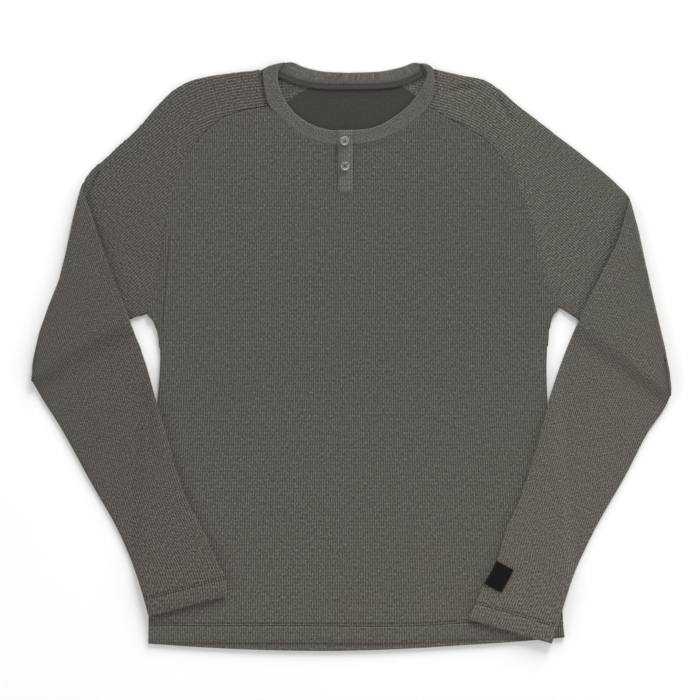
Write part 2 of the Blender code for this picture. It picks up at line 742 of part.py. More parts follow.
def build_cuff_label():
    """A strip folded over the inner edge of the right forearm, near its cuff."""
    edge = curve(FOREARM_INNER, FOREARM_ROWS, "right_")
    heights = [LABEL_HIGH] + [y for y in edge[:, 1] if LABEL_LOW < y < LABEL_HIGH] + [LABEL_LOW]
    starts = [np.array([np.interp(-y, -edge[:, 1], edge[:, axis]) for axis in (0, 1)])
              for y in heights]
    run = starts[-1] - starts[0]
    inward = np.array((-run[1], run[0])) / np.linalg.norm(run)
    centre = FOREARM_LIFT + TUBE_HEIGHT / 2
    hub = TUBE_HEIGHT / 2
    outside = []
    inside = []
    for start in starts:
        for shell, radius in ((inside, hub + SEAM_GAP), (outside, hub + SEAM_GAP + LABEL_CLOTH)):
            section = [(*(start + inward * LABEL_WIDTH), centre + radius)]
            for step in range(LABEL_STEPS + 1):
                angle = LABEL_WRAP * step / LABEL_STEPS
                place = start + inward * (hub - radius * math.sin(angle))
                section.append((*place, centre + radius * math.cos(angle)))
            shell.append(section)
    mesh = bmesh.new()
    outer = add_grid(mesh, np.array(outside))
    inner = add_grid(mesh, np.array(inside))
    add_strip(mesh, outer[0], inner[0])
    add_strip(mesh, outer[-1], inner[-1])
    add_strip(mesh, [row[0] for row in outer], [row[0] for row in inner])
    add_strip(mesh, [row[-1] for row in outer], [row[-1] for row in inner])
    return add_object("cuff_label", mesh)


def centre_on_origin(things):
    """Move every mesh so that the top's box has its bottom centre at the origin."""
    corners = np.array([vertex.co for thing in things for vertex in thing.data.vertices])
    middle = (corners.min(axis=0) + corners.max(axis=0)) / 2
    for thing in bpy.data.objects:
        for vertex in thing.data.vertices:
            vertex.co.x -= middle[0]
            vertex.co.y -= middle[1]


def main():
    for thing in list(bpy.data.objects):
        bpy.data.objects.remove(thing)
    slot = slot_cutter()
    things = [
        build_back_panel(),
        build_front_panel(slot),
        build_sleeve("sleeve_left", "left_"),
        build_sleeve("sleeve_right", "right_"),
        build_neckband(slot),
        build_neck_tape(),
        block("button_stand", STAND, FRONT_LEVEL, FRONT_LEVEL + CLOTH),
        build_placket(),
        build_cuff_label(),
    ]
    things += [build_button(name, centre) for name, centre in BUTTONS.items()]
    centre_on_origin(things)


main()
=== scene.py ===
import math

import bmesh
import bpy
import numpy as np
from mathutils import Matrix, Vector


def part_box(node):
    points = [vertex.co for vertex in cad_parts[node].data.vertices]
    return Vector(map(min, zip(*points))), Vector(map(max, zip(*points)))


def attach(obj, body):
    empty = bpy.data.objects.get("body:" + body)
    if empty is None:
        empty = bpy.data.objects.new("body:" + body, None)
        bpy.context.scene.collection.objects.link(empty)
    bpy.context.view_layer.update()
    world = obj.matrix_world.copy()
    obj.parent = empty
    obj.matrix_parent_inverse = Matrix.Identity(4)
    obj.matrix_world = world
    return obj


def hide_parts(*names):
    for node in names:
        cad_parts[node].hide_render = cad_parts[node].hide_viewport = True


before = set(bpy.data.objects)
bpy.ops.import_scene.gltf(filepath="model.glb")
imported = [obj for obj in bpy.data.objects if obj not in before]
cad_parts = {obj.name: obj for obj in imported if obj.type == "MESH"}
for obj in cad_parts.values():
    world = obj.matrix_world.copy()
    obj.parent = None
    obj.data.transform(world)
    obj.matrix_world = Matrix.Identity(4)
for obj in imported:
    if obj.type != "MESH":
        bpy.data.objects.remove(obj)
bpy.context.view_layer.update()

# A long-sleeved henley thermal top laid flat, both forearms folded in over the body.
# Plan sizes are in millimetres in the tables and in metres in the meshes.  Left and right
# are the viewer's, the collar is toward +Y, and each piece stands for its solid of the same name.

# ---------------------------------------------------------------- table, light and camera
# The top lies on matt white paper under soft studio light.  A large soft box stands low beyond
# the collar, a weak one hangs overhead, and a white tent fills the shadows.

MM = 0.001
VIEW_PIXELS = 700
PIXEL = 1.222                        # millimetres that one pixel covers on the table
VIEW_CENTRE = (-1.28, 7.03)
LENS = 100.0
SENSOR = 36.0
PAPER_LEVEL = -0.05
PAPER_HALF = 3.0                     # metres


def linear(code):
    """A hex colour as the linear values that a socket takes."""
    parts = [int(code[at:at + 2], 16) / 255 for at in (1, 3, 5)]
    return [p / 12.92 if p <= 0.04045 else ((p + 0.055) / 1.055) ** 2.4 for p in parts] + [1.0]


def add_node(tree, kind, inputs=(), stops=(), into=None, **settings):
    """Add a shader node with its settings, its links and, on a ramp, its stops.

    An input is a plain value, a socket to link from, or a node whose first output is meant.  A
    stop is a place and a colour.  The node's own first output is linked into a given socket.
    """
    new = tree.nodes.new("ShaderNode" + kind)
    for name, value in settings.items():
        setattr(new, name, value)
    for name, value in dict(inputs).items():
        if isinstance(value, bpy.types.Node):
            value = value.outputs[0]
        if isinstance(value, bpy.types.NodeSocket):
            tree.links.new(value, new.inputs[name])
        else:
            new.inputs[name].default_value = value
    for at, (place, colour) in enumerate(stops):
        if at > 1:
            new.color_ramp.elements.new(place)
        new.color_ramp.elements[at].position = place
        new.color_ramp.elements[at].color = colour
    if into is not None:
        tree.links.new(new.outputs[0], into)
    return new


def new_material(name, finish):
    """A material with its tree and its Principled surface, on whose sockets the finish is set."""
    material = bpy.data.materials.new(name)
    material.use_nodes = True
    surface = material.node_tree.nodes["Principled BSDF"]
    for socket, value in finish.items():
        surface.inputs[socket].default_value = value
    return material, material.node_tree, surface


# Uncoated paper: matt, with a mottle so faint that it only softens the white.
paper, tree, surface = new_material("matt white paper",
                                    {"Roughness": 0.9, "Specular IOR Level": 0.1})
where = add_node(tree, "TexCoord")
mottle = add_node(tree, "TexNoise", {"Vector": where.outputs["Object"], "Scale": 3.0})
add_node(tree, "ValToRGB", {"Fac": mottle},
         ((0.0, linear("#f1f1f1")), (1.0, linear("#f5f5f5"))),
         into=surface.inputs["Base Color"])

mesh = bmesh.new()
bmesh.ops.create_grid(mesh, x_segments=1, y_segments=1, size=PAPER_HALF)
bmesh.ops.translate(mesh, verts=mesh.verts, vec=(0, 0, PAPER_LEVEL * MM))
data = bpy.data.meshes.new("table")
mesh.to_mesh(data)
mesh.free()
floor = bpy.data.objects.new("table", data)
bpy.context.scene.collection.objects.link(floor)
data.materials.append(paper)

# Each soft box: where it stands, its side, its power, and how warm it is.
SOFT_BOXES = (
    ("key", (1.9, 5.5, 1.75), 2.3, 455.0, "#fffefd"),
    ("overhead", (0.1, -0.8, 2.8), 1.2, 9.0, "#ffffff"),
)
for name, place, side, power, colour in SOFT_BOXES:
    light = bpy.data.lights.new(name, "AREA")
    light.shape = "SQUARE"
    light.size = side
    light.energy = power
    light.color = linear(colour)[:3]
    box = bpy.data.objects.new(name, light)
    box.location = place
    box.rotation_euler = (-Vector(place)).to_track_quat("-Z", "Y").to_euler()
    bpy.context.scene.collection.objects.link(box)

# The white tent round the table is brightest in a low ring, so a soft shadow lies along every
# edge.  Each stop is the sine of a height and how bright the tent is there.
TENT_RING = ((0.0, 0.1), (0.09, 0.3), (0.18, 1.0), (0.5, 0.05))
TENT_STRENGTH = 4.7
world = bpy.data.worlds.new("white tent")
world.use_nodes = True
tent = world.node_tree
looking = add_node(tent, "TexCoord")
upward = add_node(tent, "SeparateXYZ", {0: looking.outputs["Generated"]})
add_node(tent, "ValToRGB", {"Fac": upward.outputs["Z"]},
         [(height, (bright, bright, bright, 1.0)) for height, bright in TENT_RING],
         into=tent.nodes["Background"].inputs["Color"])
tent.nodes["Background"].inputs["Strength"].default_value = TENT_STRENGTH
bpy.context.scene.world = world
bpy.context.scene.view_settings.view_transform = "Standard"

view_side = VIEW_PIXELS * PIXEL * MM
lens = bpy.data.cameras.new("camera")
lens.lens = LENS
lens.sensor_width = SENSOR
lens.clip_start = 0.1
lens.clip_end = 20.0
camera = bpy.data.objects.new("camera", lens)
camera.location = (VIEW_CENTRE[0] * MM, VIEW_CENTRE[1] * MM, view_side * LENS / SENSOR)
bpy.context.scene.collection.objects.link(camera)
bpy.context.scene.camera = camera


# ---------------------------------------------------------------- back panel
# One panel of charcoal heather cotton in waffle knit, its ribs lengthwise.  It lies face down
# on the table, and its plainer inner face shows in the neck and as a strip below the front's hem.

RIB = 2.7                            # waffle knit: from one lengthwise rib to the next
RIB_DEPTH = 0.42
BAR = 4.1                            # from one crossing float to the next
WALL = 1.1                           # the knit's thickness between its ribs
SEAM_GAP = 0.04                      # between two sewn edges
SEAM_ROLL = 0.06                     # how far an edge rolls in at a seam
SEAM_ROLL_OVER = 2.0
HEM_DEPTH = 24.0                     # turned hem, from its fold to its stitching
HEM_ROWS = (0.5, 1.3, 3.0, 8.0, 14.0, 19.0, 20.5, 21.4, 22.3, 23.3, 24.2, 25.1, 26.5, 30.0)
HEM_SHOWS = 6.0                      # how much of the back's hem lies below the front's
HEM_THINS_OVER = 3.0                 # from two layers to one
SEAM_ROWS = (0.8, 1.8, 3.2, 6.0, 10.0)          # from the upper seam
OPEN_ROWS = 44                       # rows between the hem's and the seam's
TRIM_SLACK = 0.3                     # a rib this near inside a side seam is cut off with it
SLIVER = 0.00005                     # metres: shorter edges are dissolved after the cut
SAME_POINT = 0.00001                 # metres: points as near as this are one
HANDS = ("left_", "right_")


def table(columns, *rows):
    """Rows of numbers as dictionaries, so that each value is read by its column's name."""
    return [dict(zip(columns.split(), row)) for row in rows]


HEM_BACK = table(
    "x y",
    (-247, -351.5), (-188, -355.5), (-113, -359), (-13, -360.2), (60, -358), (133, -353.5),
    (188, -350), (232, -346.5), (259.6, -344))
SIDES = table(
    "left_x left_y right_x right_y",
    (-247, -350.5, 259.6, -343), (-247, -310, 257.5, -310), (-244, -190, 249, -190),
    (-236, -58, 239.6, -62), (-233.3, 8, 238.6, 0), (-235.5, 28, 242.3, 34), (-241, 42, 246, 50),
    (-249, 50.4, 255, 58.2))
RAGLAN_BACK_SEAM = table(
    "left_x left_y right_x right_y",
    (-47, 331.4, 59, 332), (-77, 311.5, 84, 314), (-120, 280, 125, 281), (-170, 225, 172, 226),
    (-205, 165, 208, 165), (-230, 105, 232, 107), (-249, 50.4, 255, 58.2))
BAND_BACK_LEFT = table(
    "sewn_x sewn_y free_x free_y",
    (-108, 349.4, -81.3, 357.8), (-88, 345.5, -73, 358.6), (-67, 336.5, -58, 352.8),
    (-47, 331.4, -38.6, 348), (-3, 329.2, -3, 345.7))
BAND_BACK_RIGHT = table(
    "sewn_x sewn_y free_x free_y",
    (100.4, 350.4, 85.2, 356.9), (90, 346, 78, 358), (74, 337.5, 63, 353), (59, 332, 42.5, 348.3),
    (-3, 329.2, -3, 345.7))


def places(rows, side=""):
    """The x and y columns of a table as an array, those of one side where it has two."""
    return np.array([(row[side + "x"], row[side + "y"]) for row in rows], float)


def ease(share):
    """A soft step from 0 to 1."""
    held = np.clip(share, 0.0, 1.0)
    return held * held * (3 - 2 * held)


def way_along(line):
    """How far along a line each of its points is."""
    return np.concatenate([[0.0], np.cumsum(np.linalg.norm(np.diff(line, axis=0), axis=1))])


def smooth_curve(knots, shares):
    """Points at the given shares of the length of a smooth curve through the knots."""
    at = way_along(knots)
    slope = np.gradient(knots, at, axis=0)
    wanted = np.asarray(shares) * at[-1]
    span = np.clip(np.searchsorted(at, wanted, side="right") - 1, 0, len(at) - 2)
    width = (at[span + 1] - at[span])[:, None]
    part = (wanted - at[span])[:, None] / width
    start = (1 + 2 * part) * (1 - part) ** 2 * knots[span]
    leave = part * (1 - part) ** 2 * width * slope[span]
    arrive = part ** 2 * (part - 1) * width * slope[span + 1]
    end = part ** 2 * (3 - 2 * part) * knots[span + 1]
    return start + leave + arrive + end


def fine_curve(rows, side=""):
    """A table's smooth curve in sixty even steps."""
    return smooth_curve(places(rows, side), np.linspace(0, 1, 61))


def across_line(line, x):
    """A line's y at each x, for a line that always runs one way."""
    order = np.argsort(line[:, 0])
    return np.interp(x, line[order, 0], line[order, 1])


def nearest(plan, line):
    """How far each plan point is from a line, and the share of the line it is nearest to."""
    start = line[:-1]
    course = np.diff(line, axis=0)
    reach = plan[:, None, :] - start
    part = np.clip((reach * course).sum(-1) / (course * course).sum(-1), 0, 1)
    apart = np.linalg.norm(reach - part[..., None] * course, axis=-1)
    best = apart.argmin(axis=1)
    at = np.arange(len(plan))
    return apart[at, best], (best + part[at, best]) / len(course)


def off_line(plan, line):
    """How far plan points are to the left of a line as it runs, and the share nearest to them."""
    apart, share = nearest(plan, line)
    piece = np.minimum((share * (len(line) - 1)).astype(int), len(line) - 2)
    course = line[piece + 1] - line[piece]
    reach = plan - line[piece]
    side = np.sign(course[:, 0] * reach[:, 1] - course[:, 1] * reach[:, 0])
    return apart * side, share


def fold_rows(*rows):
    """Folds: each runs from a point, via a second, to a third, and has two reaches and a height."""
    return table("from_x from_y via_x via_y to_x to_y left right height", *rows)


FOLD_STEPS = 12
FOLD_FADE = 0.25                     # the share of a fold over which each of its ends fades


def folds_in(plan, folds):
    """Height of the listed folds: a ridge is above 0, and a trough below.

    Each reaches its own way to the left and to the right as it runs, so one side can be steep.
    """
    height = np.zeros(len(plan))
    for fold in folds:
        knots = np.array([(fold[end + "_x"], fold[end + "_y"]) for end in ("from", "via", "to")],
                         float)
        apart, share = off_line(plan, smooth_curve(knots, np.linspace(0, 1, FOLD_STEPS + 1)))
        held = ease(share / FOLD_FADE) * ease((1 - share) / FOLD_FADE)
        width = np.where(apart > 0, fold["left"], fold["right"])
        height += fold["height"] * held * np.exp(-(apart / width) ** 2)
    return height


# Three slow waves, each with its share and what x and y are divided by.
DRAPE_WAVES = ((0.45, 31, 58, 0.0), (0.35, -67, 23, 1.3), (0.2, 12.5, -17, 0.4))


def drape(plan, reach):
    """The slow unevenness of cloth that was smoothed by hand, between about -reach and reach."""
    return reach * sum(share * np.sin(plan[:, 0] / across + plan[:, 1] / along_y + start)
                       for share, across, along_y, start in DRAPE_WAVES)


def rib_dip(grain_x):
    """How deep the knit's surface lies between its lengthwise ribs."""
    return RIB_DEPTH * (0.5 - 0.5 * np.cos(2 * math.pi * grain_x / RIB))


def grid_of_cloth(columns, rows, place):
    """A grid moved into place, with the lie of its grain kept as a UV map in metres."""
    mesh = bmesh.new()
    bmesh.ops.create_grid(mesh, x_segments=columns, y_segments=rows, size=1.0)
    spots = (np.array([vertex.co for vertex in mesh.verts]) + 1) / 2
    points, grain = place(np.rint(spots[:, 0] * columns), np.rint(spots[:, 1] * rows))
    lie = mesh.loops.layers.uv.new("grain")
    for vertex, point, run in zip(mesh.verts, points * MM, grain * MM):
        vertex.co = point
        for corner in vertex.link_loops:
            corner[lie].uv = run
    return mesh


def finished(name, mesh, materials, node=None, wall=None):
    """A smooth-shaded piece that rides on the top, with a cloth's wall where it has one.

    With two materials or more, a face's inner side takes the one after its outer side's.
    """
    data = bpy.data.meshes.new(name)
    mesh.to_mesh(data)
    mesh.free()
    data.polygons.foreach_set("use_smooth", [True] * len(data.polygons))
    for material in materials:
        data.materials.append(material)
    piece = bpy.data.objects.new(name, data)
    bpy.context.scene.collection.objects.link(piece)
    if wall:
        thickness = piece.modifiers.new("wall", "SOLIDIFY")
        thickness.thickness = wall * MM
        thickness.offset = -1.0
        thickness.material_offset = min(len(materials) - 1, 1)
    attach(piece, "root")
    if node:
        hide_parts(node)
    return piece


def rows_between(low, high):
    """Each row's y in every column, close together at the hem and at the upper seam."""
    share = np.linspace(0, 1, OPEN_ROWS)[:, None]
    first = low + HEM_ROWS[-1]
    last = high - SEAM_ROWS[-1]
    hem = [low] + [low + reach for reach in HEM_ROWS[:-1]]
    seam = [high - reach for reach in SEAM_ROWS[-2::-1]] + [high]
    return np.vstack([hem, first + share * (last - first), seam])


PANEL_COLUMNS = 374                  # two to each rib
ARMPIT_LEFT = SIDES[-1]["left_x"]
ARMPIT_RIGHT = SIDES[-1]["right_x"]
PANEL_ROWS = len(HEM_ROWS) + OPEN_ROWS + len(SEAM_ROWS) - 1


def panel_plan(columns, hem, top):
    """Plan points of every row and column of a panel; below the waist its ribs spread with it."""
    straight = ARMPIT_LEFT + (ARMPIT_RIGHT - ARMPIT_LEFT) * columns / PANEL_COLUMNS
    spread = np.ones(len(straight))
    for side in HANDS:
        seam = places(SIDES, side)
        waist = seam[np.argmin(abs(seam[:, 0]))]
        here = straight * waist[0] > 0
        spread[here] = seam[0, 0] / waist[0]
    y = rows_between(across_line(hem, straight * spread), across_line(top, straight))
    x = np.broadcast_to(straight, y.shape).copy()
    for side, seam in side_seams.items():
        waist = seam[np.argmin(abs(seam[:, 0]))]
        beside_seam = np.interp(np.minimum(y, waist[1]), seam[:, 1], seam[:, 0])
        x *= np.where(straight * waist[0] > 0, beside_seam / waist[0], 1.0)
    return np.dstack([x, y])


def trim_sides(mesh):
    """Cut a panel along its side seams, where its outer ribs run off above the waist."""
    plan = np.array([vertex.co[:2] for vertex in mesh.verts]) / MM
    beyond = np.zeros(len(plan), bool)
    for hand, seam in zip((-1, 1), side_seams.values()):
        seam_x = np.interp(plan[:, 1], seam[:, 1], seam[:, 0])
        outside = (plan[:, 0] - seam_x) * hand > -TRIM_SLACK
        plan[outside, 0] = seam_x[outside]
        beyond |= outside
    faces = [face for face in mesh.faces if all(beyond[corner.index] for corner in face.verts)]
    for vertex, point, outside in zip(mesh.verts, plan, beyond):
        if outside:
            vertex.co.x = point[0] * MM
    bmesh.ops.delete(mesh, geom=faces, context="FACES")
    bmesh.ops.dissolve_degenerate(mesh, dist=SLIVER, edges=mesh.edges)


def rolled(plan, seams):
    """How far cloth rolls in along its seams."""
    roll = np.zeros(len(plan))
    for seam in seams:
        roll = np.maximum(roll, 1 - ease(nearest(plan, seam)[0] / SEAM_ROLL_OVER))
    return SEAM_ROLL * roll


side_seams = {side: fine_curve(SIDES, side) for side in HANDS}
back_raglan = {side: fine_curve(RAGLAN_BACK_SEAM, side) for side in HANDS}


def neck_edges(left, right):
    """The neckband's sewn and free edges, each from the left shoulder to the right one."""
    return {kind: np.vstack([fine_curve(left, kind), fine_curve(right, kind)[-2::-1]])
            for kind in ("sewn_", "free_")}


def between(line, low_x, high_x):
    """The part of a line between two x, with its two ends exactly there."""
    inner = line[(line[:, 0] > low_x) & (line[:, 0] < high_x)]
    ends = [(x, across_line(line, x)) for x in (low_x, high_x)]
    return np.vstack([ends[:1], inner, ends[1:]])


def panel_top(neck, raglans):
    """The upper edge of a panel: raglan seam, neck seam and raglan seam."""
    left, right = raglans["left_"], raglans["right_"]
    middle = between(neck, left[0, 0], right[0, 0]) - (0, SEAM_GAP)
    return np.vstack([left[:0:-1], middle, right[1:]])


back_neck = neck_edges(BAND_BACK_LEFT, BAND_BACK_RIGHT)
back_top = panel_top(back_neck["sewn_"], back_raglan)
back_edges = [back_top, *side_seams.values()]
back_hem_fold = fine_curve(HEM_BACK)
# Soft troughs in the underside, like those of the front.
BACK_FOLDS = fold_rows(
    (-196, 120, -150, 96, -96, 92, 9, 9, 0.35),
    (120, 40, 160, 62, 214, 60, 10, 10, 0.35),
    (-120, -190, -60, -205, 10, -196, 12, 12, 0.3),
    (70, -240, 96, -170, 92, -100, 11, 11, 0.3),
    (-214, -60, -190, -120, -196, -190, 9, 9, 0.3))


def place_back(column, row):
    """The back's outer face, which looks down; its columns run from right to left."""
    plan = panel_plan(PANEL_COLUMNS - np.arange(PANEL_COLUMNS + 1), back_hem_fold, back_top)
    plan = plan[row.astype(int), column.astype(int)]
    grain = np.stack([(PANEL_COLUMNS - column) * RIB / 2, plan[:, 1]], axis=1)
    height = rib_dip(grain[:, 0]) + folds_in(plan, BACK_FOLDS)
    height += rolled(plan, back_edges)
    return np.column_stack([plan, height]), grain


YARN_STRAY = 0.0012                  # metres that a loop strays from its rib
FLOAT_SHADE = (0.55, -0.25)          # how much a crossing float fills the hollow between ribs
DOWN = (0.3, -0.95, 0.0)             # toward the hem
LOW_FROM = 0.0                       # metres down: where the dye starts to pale
LOW_TO = 0.36
LOW_PALER = 0.07
LOW_BROWNER = 4.5                    # for each part paler


def knit_material(name, shades, rib, bar, relief, rib_shade, fleck_size, fleck_share):
    """Heathered knit: dyed and undyed fibres spun together, napped, in ribs and crossing floats.

    It gives the eye fine lengthwise lines with painted shade in their hollows, flecks that run
    along the yarn, and a slow change of brown and green greys.
    """
    material, tree, surface = new_material(name, {
        "Roughness": 0.95, "Specular IOR Level": 0.2, "Sheen Weight": 0.12,
        "Sheen Roughness": 0.5, "Sheen Tint": linear("#e8e2d8")})
    lie = add_node(tree, "UVMap", uv_map="grain")
    stray = add_node(tree, "TexNoise", {"Vector": lie, "Scale": 110.0, "Detail": 1.0})
    off = add_node(tree, "VectorMath", {0: stray.outputs["Color"], 1: (0.5, 0.5, 0.5)},
                   operation="SUBTRACT")
    nudge = add_node(tree, "VectorMath", {0: off, 1: (YARN_STRAY,) * 3}, operation="MULTIPLY")
    yarn = add_node(tree, "VectorMath", {0: lie, 1: nudge}, operation="ADD")
    cycles = (2 * math.pi / (rib * MM), 2 * math.pi / (bar * MM), 1.0)
    turns = add_node(tree, "VectorMath", {0: yarn, 1: cycles}, operation="MULTIPLY")
    apart = add_node(tree, "SeparateXYZ", {0: turns})
    crest = add_node(tree, "Math", {0: apart.outputs["X"]}, operation="COSINE")
    floats = add_node(tree, "Math", {0: apart.outputs["Y"]}, operation="COSINE")
    low_floats = add_node(tree, "Math", {0: floats, 1: FLOAT_SHADE[0], 2: FLOAT_SHADE[1]},
                          operation="MULTIPLY_ADD")
    cell = add_node(tree, "Math", {0: crest, 1: low_floats, 2: 0.5}, operation="SMOOTH_MAX")
    # Flecks: fibres about half a millimetre wide, drawn wider so that they show.
    stretched = add_node(tree, "Mapping", {"Vector": lie, "Scale": (1.0, 0.42, 1.0)})
    fleck = add_node(tree, "TexNoise", {"Vector": stretched, "Scale": 1000.0 / fleck_size,
                                        "Detail": 3.0, "Roughness": 0.65})
    fibre = add_node(tree, "TexNoise", {"Vector": lie, "Scale": 2600.0, "Detail": 1.0})
    patch = add_node(tree, "TexNoise", {"Vector": lie, "Scale": 95.0, "Detail": 2.0})
    # The knit is a little browner and paler toward the hem and cuffs.
    where = add_node(tree, "TexCoord")
    down = add_node(tree, "VectorMath", {0: where.outputs["Object"], 1: DOWN},
                    operation="DOT_PRODUCT")
    low = add_node(tree, "MapRange", {"Value": down.outputs["Value"], "From Min": LOW_FROM,
                                      "From Max": LOW_TO, "To Max": LOW_PALER})
    # Tone from 0 to 1: flecks, then the ribs' painted shade, light on crests, dark in hollows.
    painted_rib_shade = add_node(tree, "Math", {0: cell, 1: rib_shade, 2: 0.5 - 0.1 * rib_shade},
                          operation="MULTIPLY_ADD")
    fleck_tone = add_node(tree, "Math", {0: fleck, 1: fleck_share, 2: -0.5 * fleck_share},
                          operation="MULTIPLY_ADD")
    tone = add_node(tree, "Math", {0: painted_rib_shade, 1: fleck_tone}, operation="ADD")
    paled = add_node(tree, "Math", {0: tone, 1: low}, operation="ADD")
    # The knit's colour ramp, whose tone carries the painted shade of the rib hollows.
    knit_colour = add_node(tree, "ValToRGB", {"Fac": paled},
                   [(place, linear(shade)) for place, shade in zip((0.0, 0.5, 1.0), shades)])
    browned = add_node(tree, "Math", {0: low, 1: -LOW_BROWNER, 2: patch},
                       operation="MULTIPLY_ADD")
    tint = add_node(tree, "ValToRGB", {"Fac": browned},
                    ((0.35, linear("#fff1e8")), (0.65, linear("#f2fbf6"))))
    dyed = add_node(tree, "Mix", {0: 0.35, 6: knit_colour, 7: tint}, data_type="RGBA",
                    blend_type="MULTIPLY")
    tree.links.new(dyed.outputs[2], surface.inputs["Base Color"])
    nap = add_node(tree, "Math", {0: fibre, 1: 0.5, 2: cell}, operation="MULTIPLY_ADD")
    add_node(tree, "Bump", {"Height": nap, "Strength": 1.0, "Distance": relief * MM},
             into=surface.inputs["Normal"])
    return material


waffle = knit_material("waffle knit, charcoal heather cotton", ("#2a2a28", "#494844", "#7c7b75"),
                       RIB, BAR, relief=0.2, rib_shade=0.2, fleck_size=1.5, fleck_share=1.3)
# The inner face's darker shades are partly the knit's plainer reverse side and partly painted shade
# of the neck opening.
waffle_inside_painted_shade = knit_material("inside of the waffle knit, darkened with painted shade", ("#252422", "#383734", "#514f4c"),
                              RIB, BAR, relief=0.05, rib_shade=0.05, fleck_size=1.5,
                              fleck_share=0.8)
mesh = grid_of_cloth(PANEL_COLUMNS, PANEL_ROWS, place_back)
# Along the hem the cloth is turned up, so there the inner side shows the knit's outer face.
for face in mesh.faces:
    middle = face.calc_center_median() / MM
    if middle.y < across_line(back_hem_fold, [middle.x])[0] + HEM_DEPTH:
        face.material_index = 2
trim_sides(mesh)
back_panel = finished("back_panel_cloth", mesh,
                      [waffle, waffle_inside_painted_shade, waffle, waffle], "back_panel", WALL)
# The strip of the hem that shows below the front is two layers thick.
layers = back_panel.vertex_groups.new(name="layers")
for vertex in back_panel.data.vertices:
    inset = vertex.co.y / MM - across_line(back_hem_fold, [vertex.co.x / MM])[0]
    layers.add([vertex.index], 1 - 0.5 * ease((inset - HEM_SHOWS) / HEM_THINS_OVER), "REPLACE")
back_panel.modifiers["wall"].vertex_group = "layers"
back_panel.modifiers["wall"].thickness = 2 * WALL * MM


# ---------------------------------------------------------------- sewing
# Coverstitched seams and hems: polyester thread in the cloth's own grey, drawn darker as painted
# shade of its sunk lines, each stitch lying a little sunk in the knit.  Sewn through both layers
# of the turned hem.

STITCH_PITCH = 3.0
STITCH_LENGTH = 2.3
STITCH_WIDTH = 0.55
STITCH_HEIGHT = 0.3
HEM_NEEDLES = (21.4, 24.2)           # from the hem's fold to its two needle lines
NEEDLE_CLEAR = 3.0                   # from a hem's end to its first stitch
BACK_STITCH_LEVEL = 0.16
HEM_POINTS = 260

# Two plies twisted together, so the thread has fine slanting bands and a slight gloss.  Its
# darker grey is painted shade of the sunk needle lines.
thread, tree, surface = new_material("spun polyester thread, darkened with painted shade",
                                     {"Roughness": 0.6, "Sheen Weight": 0.1})
where = add_node(tree, "TexCoord")
ply = add_node(tree, "TexWave", {"Vector": where.outputs["Object"], "Scale": 900.0},
               bands_direction="DIAGONAL")
add_node(tree, "ValToRGB", {"Fac": ply.outputs["Fac"]},
         ((0.0, linear("#1b1a19")), (1.0, linear("#34322f"))),
         into=surface.inputs["Base Color"])


def stitch_line(name, lines, pitch=STITCH_PITCH):
    """Rows of stitches along lines of points on a surface, as one piece."""
    mesh = bmesh.new()
    for line in lines:
        at = way_along(line)
        count = int(at[-1] // pitch)
        for middle in (np.arange(count) + 0.5) * at[-1] / count:
            ends = [[np.interp(middle + reach, at, line[:, axis]) for axis in range(3)]
                    for reach in (-STITCH_LENGTH / 2, STITCH_LENGTH / 2)]
            run = Vector(ends[1]) - Vector(ends[0])
            centre = (Vector(ends[0]) + Vector(ends[1])) / 2 * MM
            turn = run.to_track_quat("X", "Z").to_matrix().to_4x4()
            size = Matrix.Diagonal((STITCH_LENGTH * MM / 2, STITCH_WIDTH * MM / 2,
                                    STITCH_HEIGHT * MM / 2, 1.0))
            bmesh.ops.create_icosphere(mesh, subdivisions=1, radius=1.0,
                                       matrix=Matrix.Translation(centre) @ turn @ size)
    return finished(name, mesh, [thread])


def hem_stitches(hem, level):
    """Both needle lines of a body hem, as points just on the cloth's surface."""
    x = np.linspace(hem[0, 0] + NEEDLE_CLEAR, hem[-1, 0] - NEEDLE_CLEAR, HEM_POINTS)
    return [np.column_stack([x, across_line(hem, x) + inset, np.full(len(x), level)])
            for inset in HEM_NEEDLES]


back_hem = stitch_line("back_hem_stitches", hem_stitches(back_hem_fold, BACK_STITCH_LEVEL))


# ---------------------------------------------------------------- front panel
# The same knit, one panel from hem to neck with a slit for the placket.  Its hem is turned up
# 24 mm and coverstitched, and it lies on the back, a little raised along a few soft folds.

FRONT_LEVEL = 3.1                    # its outer face
FRONT_DRAPE = 0.2
FRONT_STITCH_SINK = 0.6
SLIT_NEAR = 6.0                      # the faces this near the slit's sides are cut
SLIT_BELOW = 20.0
HEM_RISE = 0.3                       # the hem's second layer
HEM_RISE_OVER = 1.6
NEEDLE_SINK = 0.95
NEEDLE_DRAW = 0.6                    # how far beside a needle line the cloth is drawn in
# The fold of a hem rounds off in two parts, each by its own height over its own reach.
HEM_ROUND = ((0.55, 1.4), (0.45, 4.0))
HEM_SWELL = dict(at=29.0, over=3.5, depth=0.12)
HEM_FRONT = table(
    "x y",
    (-247, -350.5), (-190, -351), (-60, -351), (80, -351), (133, -348), (188, -344.5), (232, -343),
    (259.6, -343))
RAGLAN_FRONT_SEAM = table(
    "left_x left_y right_x right_y",
    (-99.3, 304.8, 94.5, 304), (-133, 298.5, 122, 287.6), (-155, 291, 152, 272.5),
    (-193.5, 254, 178, 249), (-216, 211.5, 203, 211.5), (-226, 163, 222.5, 155),
    (-234, 102, 234, 102), (-249, 50.4, 255, 58.2))
BAND_FRONT_LEFT = table(
    "sewn_x sewn_y free_x free_y",
    (-108, 349.4, -81.3, 357.8), (-106.5, 332, -88.6, 346), (-99.3, 304.8, -85.5, 322),
    (-85, 290.5, -75, 303.5), (-57, 267.5, -48, 282.3), (-30, 258.6, -26, 275.8),
    (-3, 257.2, -3, 275))
